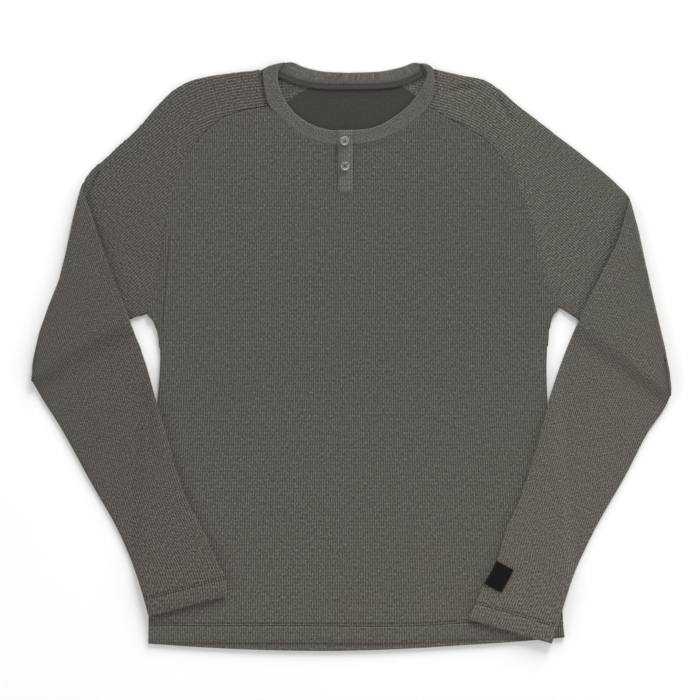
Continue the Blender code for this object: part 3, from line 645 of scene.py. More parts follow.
BAND_FRONT_RIGHT = table(
    "sewn_x sewn_y free_x free_y",
    (100.4, 350.4, 85.2, 356.9), (101.5, 330, 92, 347), (94.5, 304, 86, 326),
    (79, 288.6, 72, 307.5), (54.7, 272.3, 51, 290.5), (27, 261, 27, 278.5), (-3, 257.2, -3, 275))
STAND = dict(left=-15.5, right=1.2, bottom=199.5, top=275.0)

# The first three rows are the crease beside the left armpit, a groove between two soft ridges.
FRONT_FOLDS = fold_rows(
    (-216.6, 178, -223.6, 92, -230.1, 10, 1.5, 9, 1.2),
    (-221.6, 172, -228.8, 86, -235, 14, 5, 1.5, 0.9),
    (-219.1, 176, -226.2, 90, -232.6, 12, 1.4, 1.4, -1.9),
    (-209, 196, -214, 128, -216, 70, 7, 7, -0.3),
    (-16.5, 262, -18.2, 243, -18.4, 216, 1.5, 2.6, -1.1),
    (90, 127, 150, 131, 212, 123, 9, 9, 0.5),
    (205, 126, 226, 108, 232, 78, 8, 8, 0.35),
    (94, 116, 150, 119, 206, 111, 9, 9, -0.3),
    (188, -38, 212, -26, 236, -17, 9, 9, 0.5),
    (186, -50, 212, -38, 238, -29, 8, 8, -0.3),
    (-226, -20, -214, -60, -218, -110, 10, 10, 0.3),
    (-222, -200, -205, -232, -180, -262, 9, 9, -0.3),
    (-70, 246, -96, 222, -104, 190, 10, 10, -0.25),
    (64, 250, 84, 232, 92, 200, 10, 10, -0.25))


front_neck = neck_edges(BAND_FRONT_LEFT, BAND_FRONT_RIGHT)
front_raglan = {side: fine_curve(RAGLAN_FRONT_SEAM, side) for side in HANDS}
front_top = panel_top(front_neck["sewn_"], front_raglan)
front_edges = [front_top, *side_seams.values()]
front_hem_fold = fine_curve(HEM_FRONT)


def groove(distance, at, over, depth):
    """How deep a smooth groove round one distance is; added, it is a swelling."""
    return depth * np.exp(-((distance - at) / over) ** 2)


def hem_shape(inset):
    """Height of a turned hem over the single cloth, from its fold to past its needle lines."""
    rise = HEM_RISE * (1 - ease((inset - HEM_NEEDLES[1]) / HEM_RISE_OVER))
    fold = sum(height * (1 - ease(inset / over)) for height, over in HEM_ROUND)
    sink = sum(groove(inset, needle, NEEDLE_DRAW, NEEDLE_SINK) for needle in HEM_NEEDLES)
    return rise - fold - sink + groove(inset, **HEM_SWELL)


def place_front(column, row):
    """The front's outer face, which looks up."""
    plan = panel_plan(np.arange(PANEL_COLUMNS + 1), front_hem_fold, front_top)
    plan = plan[row.astype(int), column.astype(int)]
    grain = np.stack([column * RIB / 2, plan[:, 1]], axis=1)
    height = FRONT_LEVEL - rib_dip(grain[:, 0]) + folds_in(plan, FRONT_FOLDS)
    height = height + drape(plan, FRONT_DRAPE) - rolled(plan, front_edges)
    height += hem_shape(plan[:, 1] - across_line(front_hem_fold, plan[:, 0]))
    return np.column_stack([plan, height]), grain


def open_slit(mesh):
    """Cut the slit that the button stand lies in, from its foot up through the neck."""
    sides = (STAND["left"] - SEAM_GAP, STAND["right"] + SEAM_GAP)
    foot = STAND["bottom"] - SEAM_GAP
    for point, normal in (((sides[0], 0, 0), (1, 0, 0)), ((sides[1], 0, 0), (1, 0, 0)),
                          ((0, foot, 0), (0, 1, 0))):
        near = [face for face in mesh.faces
                if sides[0] - SLIT_NEAR < face.calc_center_median().x / MM < sides[1] + SLIT_NEAR
                and face.calc_center_median().y / MM > foot - SLIT_BELOW]
        parts = {part for face in near for part in (*face.edges, *face.verts)} | set(near)
        bmesh.ops.bisect_plane(mesh, geom=list(parts), dist=SAME_POINT,
                               plane_co=Vector(point) * MM, plane_no=normal)
    inside = [face for face in mesh.faces
              if sides[0] < face.calc_center_median().x / MM < sides[1]
              and face.calc_center_median().y / MM > foot]
    bmesh.ops.delete(mesh, geom=inside, context="FACES")


mesh = grid_of_cloth(PANEL_COLUMNS, PANEL_ROWS, place_front)
trim_sides(mesh)
open_slit(mesh)
front_panel = finished("front_panel_cloth", mesh, [waffle, waffle_inside_painted_shade],
                       "front_panel", WALL)
front_hem = stitch_line("front_hem_stitches",
                        hem_stitches(front_hem_fold, FRONT_LEVEL - FRONT_STITCH_SINK))


# ---------------------------------------------------------------- sleeves
# Each raglan sleeve is one piece of the waffle knit, its ribs lengthwise, closed by an underarm
# seam, pressed flat, and folded once at the elbow so that its forearm lies on top, turned over.
# The armhole is sewn to the panels and neckband, and the cuff is turned in and coverstitched.

OVERARM = table(
    "left_x left_y right_x right_y",
    (-108, 349.4, 100.4, 350.4), (-153, 344.5, 141, 341.2), (-192, 336.7, 168.6, 334),
    (-211.6, 327.6, 179.4, 326.3), (-233, 308.5, 201.5, 307.3), (-257.2, 281.2, 236.4, 280.2),
    (-295.3, 245.2, 282.5, 245.2), (-317, 225, 318.5, 215.4), (-329.6, 207.5, 340, 194.5))
UNDERARM = table(
    "left_x left_y right_x right_y",
    (-249, 50.4, 255, 58.2), (-270, 45, 279, 43), (-310, 28, 315, 17.5), (-391.5, -26, 391.5, -43))
FOREARM_INNER = table(
    "left_x left_y right_x right_y",
    (-329.6, 207.5, 340, 194.5), (-312, 160, 325, 141), (-292.5, 104.5, 294, 78),
    (-270.7, 45, 264.5, 12), (-251.8, -6, 244.8, -42.7), (-228, -88, 228, -104),
    (-206, -156, 206, -174), (-187, -201, 186, -220), (-162, -249, 178, -250),
    (-152.5, -277, 158, -287), (-152, -293, 143.2, -321.7))
FOREARM_OUTER = table(
    "left_x left_y right_x right_y",
    (-391.5, -26, 391.5, -43), (-381, -46, 384.5, -61), (-357, -84, 363, -92.9),
    (-319, -152.6, 338, -141), (-282, -219, 294, -219.5), (-262, -268, 270, -273),
    (-252.6, -297.5, 256, -317), (-247, -318.4, 245, -351.1))
FOLD_BOW = table(
    "share left right",
    (0, 0, 0), (0.17, -0.4, 2.2), (0.34, -2.7, 2), (0.49, -3.3, 2.2), (0.63, 0.8, 2.7),
    (0.77, 3.5, 3.3), (0.9, 2.2, 2.6), (1, 0, 0))

# The upper sleeve's ribs run beside this guide; they are spread most over the shoulder.
RIB_GUIDE = table(
    "left_x left_y left_spread right_x right_y right_spread",
    (-20, 353, 1.28, 20, 357, 1.24), (-60, 351, 1.3, 60, 354, 1.26),
    (-108, 348, 1.34, 100, 348.5, 1.27), (-150, 342, 1.34, 140, 337.5, 1.26),
    (-190, 331, 1.31, 172, 320, 1.18), (-222, 312, 1.23, 204, 295.5, 1.06),
    (-250, 288, 1.15, 240, 266, 0.99), (-285, 257, 1.11, 283, 230, 0.97),
    (-320, 226, 1.1, 320, 198, 0.97), (-400, 154, 1.1, 400, 129, 0.97),
    (-480, 82, 1.1, 480, 60, 0.97))
# Along the forearm: how far its ribs are spread, and how far the underarm's end of a row is
# along the ribs from its overarm end.
FOREARM_GRAIN = table(
    "way spread slant",
    (1.0, 0.99, 200), (1.35, 0.98, 150), (1.7, 1.0, 70), (2.0, 1.12, 10))
SLEEVE_WALL = 1.0
TUBE_RADIUS = 1.55                   # of the pressed tube's two edges
PRESSED = 0.3                        # how much thinner the tube is pressed along its edges
PRESSED_OVER = 6.0
EDGE_RIBS = 0.35                     # how much of the ribs' depth is left at the pressed edges
EDGE_RIBS_OVER = 5.0
SHOULDER_RIBS = 0.5                  # and how much is left where the shoulder is pressed
SHOULDER_OVER = 0.7                  # of the upper sleeve
ELBOW_AXIS = 3.25                    # height that the sleeve is folded about
FOLD_REACH = 16.0                    # how far from the elbow it starts to draw back for its turn
BOW_FADES = 3.0                      # how much faster the fold's bow fades on the forearm
LEAD_STEP = 0.02                     # of an arm's way, to see how fast its edges near the fold
FOREARM_LIFT = 3.4                   # how high a forearm's underside lies on the body
SLEEVE_DRAPE = 0.15
SEAM_SINK = 0.3                      # how much lower than the panels a sleeve is sewn on
SEAM_SINK_OVER = 8.0
CUFF_ROUND = 0.35                    # how much thinner the cuff's fold is
CUFF_ROUND_OVER = 1.3
CUFF_FOLD_FROM = 0.9                 # a cuff's fold rounds no more than a hem's does this far in
CUFF_FOLD_LIFT = 0.2
CUFF_FOLD_OVER = 2.0
CUFF_POINTS = 90
CUFF_STITCH_SINK = 0.05
UPPER_ROWS = 70
ELBOW_ROWS = 18
ELBOW_OVER = 36.0                    # the closer rows beside the elbow
FOLD_ROWS = 8
CUFF_ROWS = (30.0, 26.5, 25.1, 24.2, 23.3, 22.3, 21.4, 20.5, 19.0, 13.0, 7.0, 3.0, 1.3, 0.5, 0.0)
FOREARM_ROWS = 66
# How far past its support a forearm starts to come down to the table, and over how much: its
# underside, then its top.
UNDER_DROP = (4.0, 11.0)
TOP_DROP = (6.0, 17.0)

LEFT_FOLDS = dict(
    upper=fold_rows(
        (-303, 231, -315, 208, -327, 182, 1.0, 3.0, -2.1),
        (-300, 228, -311, 206, -321, 184, 7, 1.2, 0.7),
        (-330, 200, -318, 168, -298, 118, 3.5, 3.5, -0.6),
        (-240, 262, -262, 236, -290, 214, 10, 10, -0.3),
        (-262, 60, -296, 62, -330, 50, 10, 10, 0.4),
        (-250, 92, -262, 120, -282, 132, 9, 9, -0.35),
        (-140, 322, -170, 306, -196, 284, 10, 10, -0.3)),
    forearm=fold_rows(
        (-248, -46, -244, -92, -243, -138, 2.5, 6, -1.1),
        (-238, -52, -235, -92, -234, -134, 7, 4, 0.6),
        (-204, -150, -196, -172, -186, -196, 8, 8, -0.45),
        (-180, -226, -172, -240, -160, -262, 7, 7, -0.4),
        (-330, 120, -322, 84, -318, 50, 12, 12, 0.2),
        (-372, -30, -352, -44, -330, -40, 9, 9, -0.12),
        (-300, 20, -286, -20, -284, -60, 11, 11, -0.3)))
RIGHT_FOLDS = dict(
    upper=fold_rows(
        (341, 196, 321, 129, 272, 36, 3.5, 3.5, -1.3),
        (112, 319, 135, 325, 158, 326, 4, 2.2, -1.6),
        (164, 322, 177, 305, 193, 284, 7, 3, 0.8),
        (172, 322, 184, 305, 199, 282, 3.5, 6, -1.5),
        (262, 70, 296, 66, 330, 46, 10, 10, 0.4),
        (250, 96, 266, 122, 288, 134, 9, 9, -0.35)),
    forearm=fold_rows(
        (330, 110, 318, 70, 312, 34, 12, 12, 0.2),
        (374, -48, 352, -62, 332, -58, 9, 9, -0.12),
        (300, 0, 288, -40, 284, -82, 11, 11, -0.15),
        (236, -90, 226, -120, 222, -150, 8, 8, -0.4),
        (206, -190, 198, -220, 192, -246, 8, 8, 0.35)))


def outward_of(side, top, bottom):
    """The direction square to the elbow fold that leads out of the sleeve."""
    course = bottom - top
    outward = np.array((course[1], -course[0])) / np.linalg.norm(course)
    return outward if (outward[0] < 0) == (side == "left_") else -outward


def supported(plan, side, drop):
    """1 over what carries a forearm, the upper sleeve or the body, and 0 on the table."""
    seam = side_seams[side]
    outward = -1 if side == "left_" else 1
    past_side = (plan[:, 0] - np.interp(plan[:, 1], seam[:, 1], seam[:, 0])) * outward
    past_hem = across_line(front_hem_fold, plan[:, 0]) - plan[:, 1]
    off_sleeve = across_line(fine_curve(UNDERARM, side), plan[:, 0]) - plan[:, 1]
    off = np.minimum(np.maximum(past_side, past_hem), off_sleeve)
    start, over = drop
    return 1 - ease((off - start) / over)


def length_of(line):
    """A line's length."""
    return np.linalg.norm(np.diff(line, axis=0), axis=1).sum()


SEAM_START = (0.0, 0.8, 1.8, 3.2, 6.0)          # from the armhole to its closer rows
EXTENDED = 0.4                       # how far the rib lines run on towards the neck
GUIDE_STEPS = 60
COURSE_END = 1.25                    # the forearm's course is taken from the elbow to here
TURN_WAY = 0.0001                    # of the forearm, which the elbow's turn is counted as
FLAT_TURN = 0.01                     # radians: cloth turned by less isn't in the elbow's fold
FOREARM_POINTS = 121
# The table of ribs: its rows to the elbow and past it, its places along a row, and its ribs.
UPPER_WAYS = 211
FOREARM_WAYS = 150
ROW_PLACES = 101
RIB_STEP = 0.5
GRID_PAST = 2.0                      # how far the cloth's grid runs on past the last rib
TABLE_PAST = 6.0
INSIDE = 1.001                       # keeps a place inside the table's last cell
START_WAYS = 161


def with_start(line):
    """A line run on straight before its start, with each point's place on its way."""
    back = line[0] + (line[0] - line[1]) * EXTENDED * (len(line) - 1)
    way = np.concatenate([[-EXTENDED], np.linspace(0, 1, len(line))])
    return way, np.vstack([[back], line])


def at_way(way, line, wanted):
    """Points of an edge at wanted places on its way."""
    return np.stack([np.interp(wanted, way, line[:, axis]) for axis in (0, 1)], axis=1)


def columns_of(rows, *names):
    """Columns of a table, as lists."""
    return [[row[name] for row in rows] for name in names]


def between_cells(values, row, column):
    """A grid's value between its cells."""
    low, left = row.astype(int), column.astype(int)
    up, right = row - low, column - left
    below = values[low, left] * (1 - right) + values[low, left + 1] * right
    above = values[low + 1, left] * (1 - right) + values[low + 1, left + 1] * right
    return below * (1 - up) + above * up


def past_seam(plan, seam, hand):
    """How far plan points are past a seam, on the sleeve's side of it."""
    return off_line(plan, seam)[0] * hand


class Sleeve:
    """One sleeve's rows, from armhole to cuff, and where each point of its skin lies."""

    def __init__(self, side, folds):
        self.side = side
        self.folds = folds
        self.hand = -1 if side == "left_" else 1
        over = fine_curve(OVERARM, side)
        under = fine_curve(UNDERARM, side)
        self.upper_length = length_of(over)
        self.outward = outward_of(side, over[-1], under[-1])
        inner_knots = places(FOREARM_INNER, side)
        outer_knots = places(FOREARM_OUTER, side)
        self.forearm_length = length_of(inner_knots)
        share = np.linspace(0, 1, FOREARM_POINTS)
        # Rows lie square to the sleeve's course at the cuff, so the outer edge's are as far apart.
        left_over = 1 - share
        ratio = self.forearm_length / length_of(outer_knots)
        outer_share = 1 - ratio * left_over + (ratio - 1) * left_over ** 2
        way, over = with_start(over)
        self.over_way = np.concatenate([way, 1 + share[1:]])
        self.over = np.vstack([over, smooth_curve(inner_knots, share)[1:]])
        way, under = with_start(under)
        self.under_way = np.concatenate([way, 1 + share[1:]])
        self.under = np.vstack([under, smooth_curve(outer_knots, np.clip(outer_share, 0, 1))[1:]])
        # The armhole: the shoulder's part of the neckband, then the raglan seam.
        self.seam = {}
        for layer, neck, raglan in (("front", front_neck["sewn_"], front_raglan[side]),
                                    ("back", back_neck["sewn_"], back_raglan[side])):
            neck = neck if side == "left_" else neck[::-1]
            past = (neck[:, 0] - raglan[0, 0]) * self.hand > 0
            self.seam[layer] = np.vstack([neck[past], raglan])
        turns = FOLD_ROWS - 1
        close = 1 - ELBOW_OVER / self.upper_length
        upper = np.concatenate([np.array(SEAM_START[:-1]) / self.upper_length,
                                np.linspace(SEAM_START[-1] / self.upper_length, close, UPPER_ROWS),
                                np.linspace(close, 1, ELBOW_ROWS + 1)[1:]])
        open_share = np.linspace(0, 1 - CUFF_ROWS[0] / self.forearm_length, FOREARM_ROWS + 1)
        cuff_share = 1 - np.array(CUFF_ROWS[1:]) / self.forearm_length
        shares = np.concatenate([np.maximum(open_share, TURN_WAY), cuff_share])
        # On the upper sleeve a row is a share of the way that each rib runs to the elbow.
        self.upper_share = np.concatenate([upper, np.ones(turns + len(shares))])
        self.beyond = np.concatenate([np.zeros(len(upper)),
                                      TURN_WAY * np.arange(1, FOLD_ROWS) / FOLD_ROWS, shares])
        self.angle = np.concatenate([np.zeros(len(upper)),
                                     math.pi * np.arange(1, FOLD_ROWS) / FOLD_ROWS,
                                     np.full(len(shares), math.pi)])
        self.from_cuff = np.where(self.beyond > 0, (1 - self.beyond) * self.forearm_length,
                                  self.forearm_length)
        self.rows = len(self.angle) - 1
        # How fast each edge of the sleeve nears the elbow fold and leaves it again, for its way.
        corner = self.ends_at(np.array([1.0]))
        self.lead = [(corner - self.ends_at(np.array([way])))[:, 0] / LEAD_STEP @ self.outward
                     for way in (1 - LEAD_STEP, 1 + LEAD_STEP)]
        self.lay_ribs()
        self.starts = self.find_starts()

    def ends_at(self, way):
        """The overarm and underarm ends of rows."""
        return np.array([at_way(self.over_way, self.over, way),
                         at_way(self.under_way, self.under, way)])

    def flat(self, way, share, turned):
        """Plan points of the pressed sleeve, drawn back from the elbow as its turn needs."""
        length = np.where(way <= 1, self.upper_length, self.forearm_length)
        reach = ELBOW_AXIS * (1 - ease(np.abs(way - 1) * length / FOLD_REACH))
        plan = np.zeros((len(way), 2))
        for part, hand, lead in ((1 - turned, -1, self.lead[0]), (turned, 1, self.lead[1])):
            over, under = self.ends_at(way + hand * reach / (lead[0] + share * (lead[1] - lead[0])))
            plan += part[:, None] * (over + share[:, None] * (under - over))
        return plan

    def lay_ribs(self):
        """Where each rib crosses a row: a table of row shares by way and rib."""
        knots = columns_of(RIB_GUIDE, self.side + "x", self.side + "y", self.side + "spread")
        guide = smooth_curve(np.array(knots).T, np.linspace(0, 1, GUIDE_STEPS + 1))
        self.ways = np.concatenate([np.linspace(-EXTENDED, 1, UPPER_WAYS),
                                    np.linspace(1 + TURN_WAY, 2, FOREARM_WAYS)])
        shares = np.linspace(0, 1, ROW_PLACES)
        way, share = (grid.ravel() for grid in np.meshgrid(self.ways, shares, indexing="ij"))
        over, under = self.ends_at(np.minimum(way, 1.0))
        plan = over + share[:, None] * (under - over)
        run = nearest(plan, guide[:, :2])[1]
        spread = np.interp(run * GUIDE_STEPS, np.arange(GUIDE_STEPS + 1), guide[:, 2])
        rib = -past_seam(plan, guide[:, :2], self.hand) / spread
        rib = np.maximum.accumulate(rib.reshape(len(self.ways), -1), axis=1)
        # On the forearm the ribs keep their order from the elbow, and run off towards the cuff.
        over, under = self.ends_at(self.ways)
        elbow = np.argmin(abs(self.ways - 1))
        end = np.argmin(abs(self.ways - COURSE_END))
        course = (over[end] + under[end]) - (over[elbow] + under[elbow])
        across = under - over
        square = abs(across[:, 0] * course[1] - across[:, 1] * course[0]) / np.linalg.norm(course)
        spread = np.interp(self.ways, *columns_of(FOREARM_GRAIN, "way", "spread"))
        kept = square / spread / (rib[elbow, -1] - rib[elbow, 0])
        kept = np.where(self.ways > 1, kept, 1.0)
        rib = rib[:, :1] + (rib - rib[:, :1]) * kept[:, None]
        self.first_rib, self.last_rib = rib[:, 0], rib[:, -1]
        self.rib_low = math.floor(rib.min() / RIB) * RIB
        self.rib_count = math.ceil((rib.max() + GRID_PAST - self.rib_low) / (RIB / 2))
        self.rib_steps = np.arange(self.rib_low, rib.max() + TABLE_PAST, RIB_STEP)
        self.crossing = np.array([np.interp(self.rib_steps, line, shares) for line in rib])
        self.run = (run * length_of(guide[:, :2])).reshape(len(self.ways), -1)
        self.run += self.upper_length - self.run[elbow, 0]

    def share_at(self, way, rib):
        """The share of its row at which a rib lies, between the table's values."""
        row = np.minimum(np.interp(way, self.ways, np.arange(len(self.ways))),
                         len(self.ways) - INSIDE)
        step = np.clip((rib - self.rib_low) / RIB_STEP, 0, len(self.rib_steps) - INSIDE)
        return between_cells(self.crossing, row, step)

    def run_at(self, way, share):
        """How far along the ribs a point is."""
        row = np.interp(np.minimum(way, 1.0), self.ways, np.arange(len(self.ways)))
        upper = between_cells(self.run, row, np.clip(share, 0, 1) * (ROW_PLACES - INSIDE))
        slant = np.interp(way, *columns_of(FOREARM_GRAIN, "way", "slant"))
        forearm = self.upper_length + (way - 1) * self.forearm_length + share * slant
        return np.where(way <= 1, upper, forearm)

    def lie(self, way):
        """A row's rib at the overarm edge, and its width counted along the ribs' table."""
        first = np.interp(way, self.ways, self.first_rib)
        return first, np.interp(way, self.ways, self.last_rib) - first

    def find_starts(self):
        """Where on its way each rib leaves the armhole, for the front and the back layer."""
        ribs = self.rib_low + np.arange(self.rib_count + 1) * RIB / 2
        ways = np.linspace(-EXTENDED, EXTENDED, START_WAYS)
        rib, way = (grid.ravel() for grid in np.meshgrid(ribs, ways, indexing="ij"))
        over, under = self.ends_at(way)
        plan = over + self.share_at(way, rib)[:, None] * (under - over)
        starts = {}
        for layer, seam in self.seam.items():
            past = past_seam(plan, seam, self.hand) - SEAM_GAP
            past = past.reshape(len(ribs), len(ways))
            last = len(ways) - 1 - np.argmax((past <= 0)[:, ::-1], axis=1)
            row = np.arange(len(ribs))
            before, after = past[row, last], past[row, np.minimum(last + 1, len(ways) - 1)]
            part = np.clip(-before / (after - before), 0, 1)
            starts[layer] = ways[last] + part * (ways[1] - ways[0])
        return starts

    def skin(self, column, row):
        """Points of the outer skin; a column is counted from the overarm edge, front or back."""
        radius = TUBE_RADIUS
        front = column >= 0
        count = np.abs(column)
        rib = self.rib_low + count * RIB / 2
        steps = np.arange(self.rib_count + 1)
        starts = {layer: np.interp(count, steps, start) for layer, start in self.starts.items()}
        start = np.where(front, starts["front"], starts["back"])
        way = start + self.upper_share[row] * (1 - start) + self.beyond[row]
        first, width = self.lie(way)
        once = width + (math.pi - 2) * radius
        reach = np.clip(rib - first, 0, once)
        edge = np.minimum(reach, once - reach)
        quarter = math.pi * radius / 2
        turn = np.minimum(edge / radius, math.pi / 2)
        ribbed = EDGE_RIBS + (1 - EDGE_RIBS) * ease(edge / EDGE_RIBS_OVER)
        ribbed *= SHOULDER_RIBS + (1 - SHOULDER_RIBS) * ease(way / SHOULDER_OVER)
        skin = radius - rib_dip(first + reach) * ribbed
        skin -= CUFF_ROUND * (1 - ease(self.from_cuff[row] / CUFF_ROUND_OVER))
        inset = np.where(edge < quarter, radius - skin * np.cos(turn), radius + edge - quarter)
        share = self.share_at(way, first + np.where(reach <= once / 2, inset, width - inset))
        pressed = 1 - PRESSED * (1 - ease(inset / PRESSED_OVER))
        height = radius + np.where(front, 1, -1) * skin * pressed * np.sin(turn)
        angle = self.angle[row]
        plan = self.flat(way, share, angle / math.pi)
        bow = np.interp(share, *columns_of(FOLD_BOW, "share", self.side.rstrip("_")))
        bow *= np.where(way <= 1, ease(way), 1 - ease((way - 1) * BOW_FADES))
        plan = plan + bow[:, None] * self.outward
        lever = ELBOW_AXIS - height
        plan = plan + (lever * np.sin(angle))[:, None] * self.outward
        level = ELBOW_AXIS - lever * np.cos(angle)
        lowest = np.where(front & (angle < FLAT_TURN), SLEEVE_WALL, 0.0)
        level = np.maximum(level + self.shape(plan, front, angle, row), lowest)
        grain = np.stack([first + reach, self.run_at(way, share)], axis=1)
        return np.column_stack([plan, level]), grain

    def shape(self, plan, front, angle, row):
        """How the pressed tube is raised or let down: folds, hem, seams and the table."""
        forearm = angle > math.pi - FLAT_TURN
        upper = angle < FLAT_TURN
        top = np.where(forearm, ~front, front)
        level = np.zeros(len(plan))
        for here, folds in ((upper & top, self.folds["upper"]),
                            (forearm & top, self.folds["forearm"])):
            level[here] += folds_in(plan[here], folds) + drape(plan[here], SLEEVE_DRAPE)
        lift = np.where(top, supported(plan, self.side, TOP_DROP),
                        supported(plan, self.side, UNDER_DROP))
        level -= np.where(forearm, FOREARM_LIFT * (1 - lift), 0.0)
        from_cuff = self.from_cuff[row]
        hem = (hem_shape(np.maximum(from_cuff, CUFF_FOLD_FROM))
               + CUFF_FOLD_LIFT * (1 - ease(from_cuff / CUFF_FOLD_OVER)))
        level += np.where(forearm & top, hem, 0.0)
        near = upper & (self.upper_share[row] * self.upper_length < 2 * SEAM_SINK_OVER)
        for layer, facing, sign in (("front", front, -1), ("back", ~front, 1)):
            here = near & facing
            past = np.maximum(past_seam(plan[here], self.seam[layer], self.hand), 0)
            level[here] += sign * SEAM_SINK * (1 - ease(past / SEAM_SINK_OVER))
        return level


def make_sleeve(name, side, folds, shades):
    """A sleeve's rows and its cloth."""
    sleeve = Sleeve(side, folds)

    def place(column, row):
        return sleeve.skin(sleeve.hand * (column - sleeve.rib_count), row.astype(int))
    mesh = grid_of_cloth(2 * sleeve.rib_count, sleeve.rows, place)
    bmesh.ops.remove_doubles(mesh, verts=mesh.verts, dist=2 * SAME_POINT)
    cloth = knit_material(f"waffle knit, {name}", shades, RIB, BAR, relief=0.2, rib_shade=0.26,
                          fleck_size=1.15, fleck_share=2.15)
    return sleeve, finished(f"{name}_cloth", mesh, [cloth], name, SLEEVE_WALL)


def cuff_stitches(sleeve):
    """Both needle lines round a cuff."""
    lines = []
    for needle in HEM_NEEDLES:
        row = int(np.argmin(np.abs(sleeve.from_cuff - needle)))
        first, last = sleeve.first_rib[-1], sleeve.last_rib[-1]
        ribs = np.linspace(first + NEEDLE_CLEAR, last - NEEDLE_CLEAR, CUFF_POINTS)
        for facing in (-1, 1):
            columns = facing * (ribs - sleeve.rib_low) / (RIB / 2)
            line = sleeve.skin(columns, np.full(CUFF_POINTS, row))[0]
            line[:, 2] -= CUFF_STITCH_SINK * facing
            lines.append(line)
    return lines


# The left sleeve's shades are painted darker, as painted shade, and the right one's lighter, as
# painted light from the soft box that stands to the right.
for name, side, folds, shades, size in (
        ("sleeve_left", "left_", LEFT_FOLDS, ("#292826", "#484542", "#77736d"),
         (0.54, 0.84, 0.1765)),
        ("sleeve_right", "right_", RIGHT_FOLDS, ("#2c2b29", "#4d4b47", "#7e7b75"),
         (0.54, 0.86, 0.181))):
    sleeve, cloth = make_sleeve(name, side, folds, shades)
    stitches = stitch_line(f"{name}_cuff_stitches", cuff_stitches(sleeve))


# ---------------------------------------------------------------- neckband and back neck tape
# A strip of fine one-and-one rib, folded lengthwise and sewn round the neck by its raw edges,
# from one side of the placket to the other.  Its ribs run across the band.

BAND_WALL = 1.6
BAND_AXIS = 2.4                      # height that the band folds about at each shoulder
BAND_DROP = 1.5                      # how much lower it lies at the front, from this far up
BAND_DROP_FROM = 318.0
BAND_DROP_OVER = 28.0
BAND_RIB = 1.9
BAND_BAR = 60.0                      # so long that no floats show across the rib
BAND_RIB_DEPTH = 0.16
BAND_STEP = BAND_RIB / 2
BAND_ROW_GRAIN = 3.0                 # keeps the grain of the band's two layers apart
SHOULDER_STEPS = 9
BAND_PINCH = 0.2                     # how much of the shoulder fold's bulge is left at its ends
BAND_PINCH_OVER = 0.4                # of the band's width
NECK_NEEDLES = (2.6, 4.4)            # from the neck seam to its two needle lines
NECK_STITCH_TOP = 349.0
NECK_STITCH_SINK = 0.1
PLACKET = dict(left=-16.0, right=1.8, bottom=197.7, top=275.6)
PLACKET_CLEAR = dict(left=2.0, right=3.0)
# The strip's section: how far in from its sewn edge or, where negative, from its folded edge,
# and the depth in its thickness from the outer face.
BAND_SECTION = table(
    "inset depth",
    (0, 0.5), (0.2, 0.16), (0.8, 0.02), (2.0, 0), (5, 0), (8.8, 0), (-5, 0), (-2.2, 0),
    (-1.0, 0.05), (-0.3, 0.2), (-0.001, 0.5), (-0.3, 0.8), (-1.0, 0.95), (-2.2, 1), (-5, 1),
    (8.8, 1), (5, 1), (2.0, 1), (0.8, 0.98), (0.2, 0.84), (0, 0.5))


def along(line, shares):
    """Points at shares of a line's length."""
    at = way_along(line)
    return np.stack([np.interp(shares * at[-1], at, line[:, axis]) for axis in (0, 1)], axis=1)


def band_stations():
    """The sewn and folded edges' points, and the turn about the shoulder fold, all round."""
    front = list(front_neck.values())
    back = list(back_neck.values())
    sewn_x = front[0][:, 0]
    at = way_along(front[0])
    at /= at[-1]
    middle = slice(np.argmin(sewn_x), np.argmax(sewn_x) + 1)
    ends = np.interp((STAND["left"] - SEAM_GAP, STAND["right"] + SEAM_GAP),
                     sewn_x[middle], at[middle])
    around = length_of(front[0])
    turn = math.pi * np.arange(1, SHOULDER_STEPS) / SHOULDER_STEPS
    parts = []

    def add(lines, low, high, angle):
        count = max(2, int(abs(high - low) * around / BAND_STEP))
        shares = np.linspace(low, high, count)
        parts.append((along(lines[0], shares), along(lines[1], shares), np.full(count, angle)))

    def add_turn(end, angles):
        parts.append(tuple(np.tile(line[end], (len(angles), 1)) for line in front) + (angles,))
    add(front, ends[1], 1.0, math.pi)
    add_turn(-1, turn[::-1])
    add(back, 1.0, 0.0, 0.0)
    add_turn(0, turn)
    add(front, 0.0, ends[0], math.pi)
    return [np.concatenate([part[kind] for part in parts]) for kind in range(3)]


band_sewn, band_free, band_turn = band_stations()
band_way = np.arange(len(band_turn)) * BAND_STEP


def place_band(column, row):
    """The band's skin: a column is a station round the neck, a row one of its section."""
    at = column.astype(int)
    sewn, free, angle = band_sewn[at], band_free[at], band_turn[at]
    width = np.linalg.norm(free - sewn, axis=1)
    inset, depth = np.array(columns_of(BAND_SECTION, "inset", "depth"))[:, row.astype(int)]
    share = np.where(inset < 0, width + inset, inset) / width
    ribbed = 0.5 - 0.5 * np.cos(2 * math.pi * band_way[at] / BAND_RIB)
    depth = depth * BAND_WALL + BAND_RIB_DEPTH * ribbed * np.sign(0.5 - depth)
    outward = np.stack([sewn[:, 1] - free[:, 1], free[:, 0] - sewn[:, 0]], axis=1)
    outward *= np.where(outward[:, 1] < 0, -1, 1)[:, None] / width[:, None]
    reach = BAND_AXIS - depth
    on_front = angle > math.pi - FLAT_TURN
    drop = BAND_DROP * ease((BAND_DROP_FROM - sewn[:, 1]) / BAND_DROP_OVER) * on_front
    pinched = ease(np.minimum(share, 1 - share) / BAND_PINCH_OVER)
    bulge = reach * np.sin(angle) * (BAND_PINCH + (1 - BAND_PINCH) * pinched)
    plan = sewn + share[:, None] * (free - sewn) + bulge[:, None] * outward
    grain = np.stack([band_way[at], share * width + BAND_ROW_GRAIN * row], axis=1)
    return np.column_stack([plan, BAND_AXIS - reach * np.cos(angle) - drop]), grain


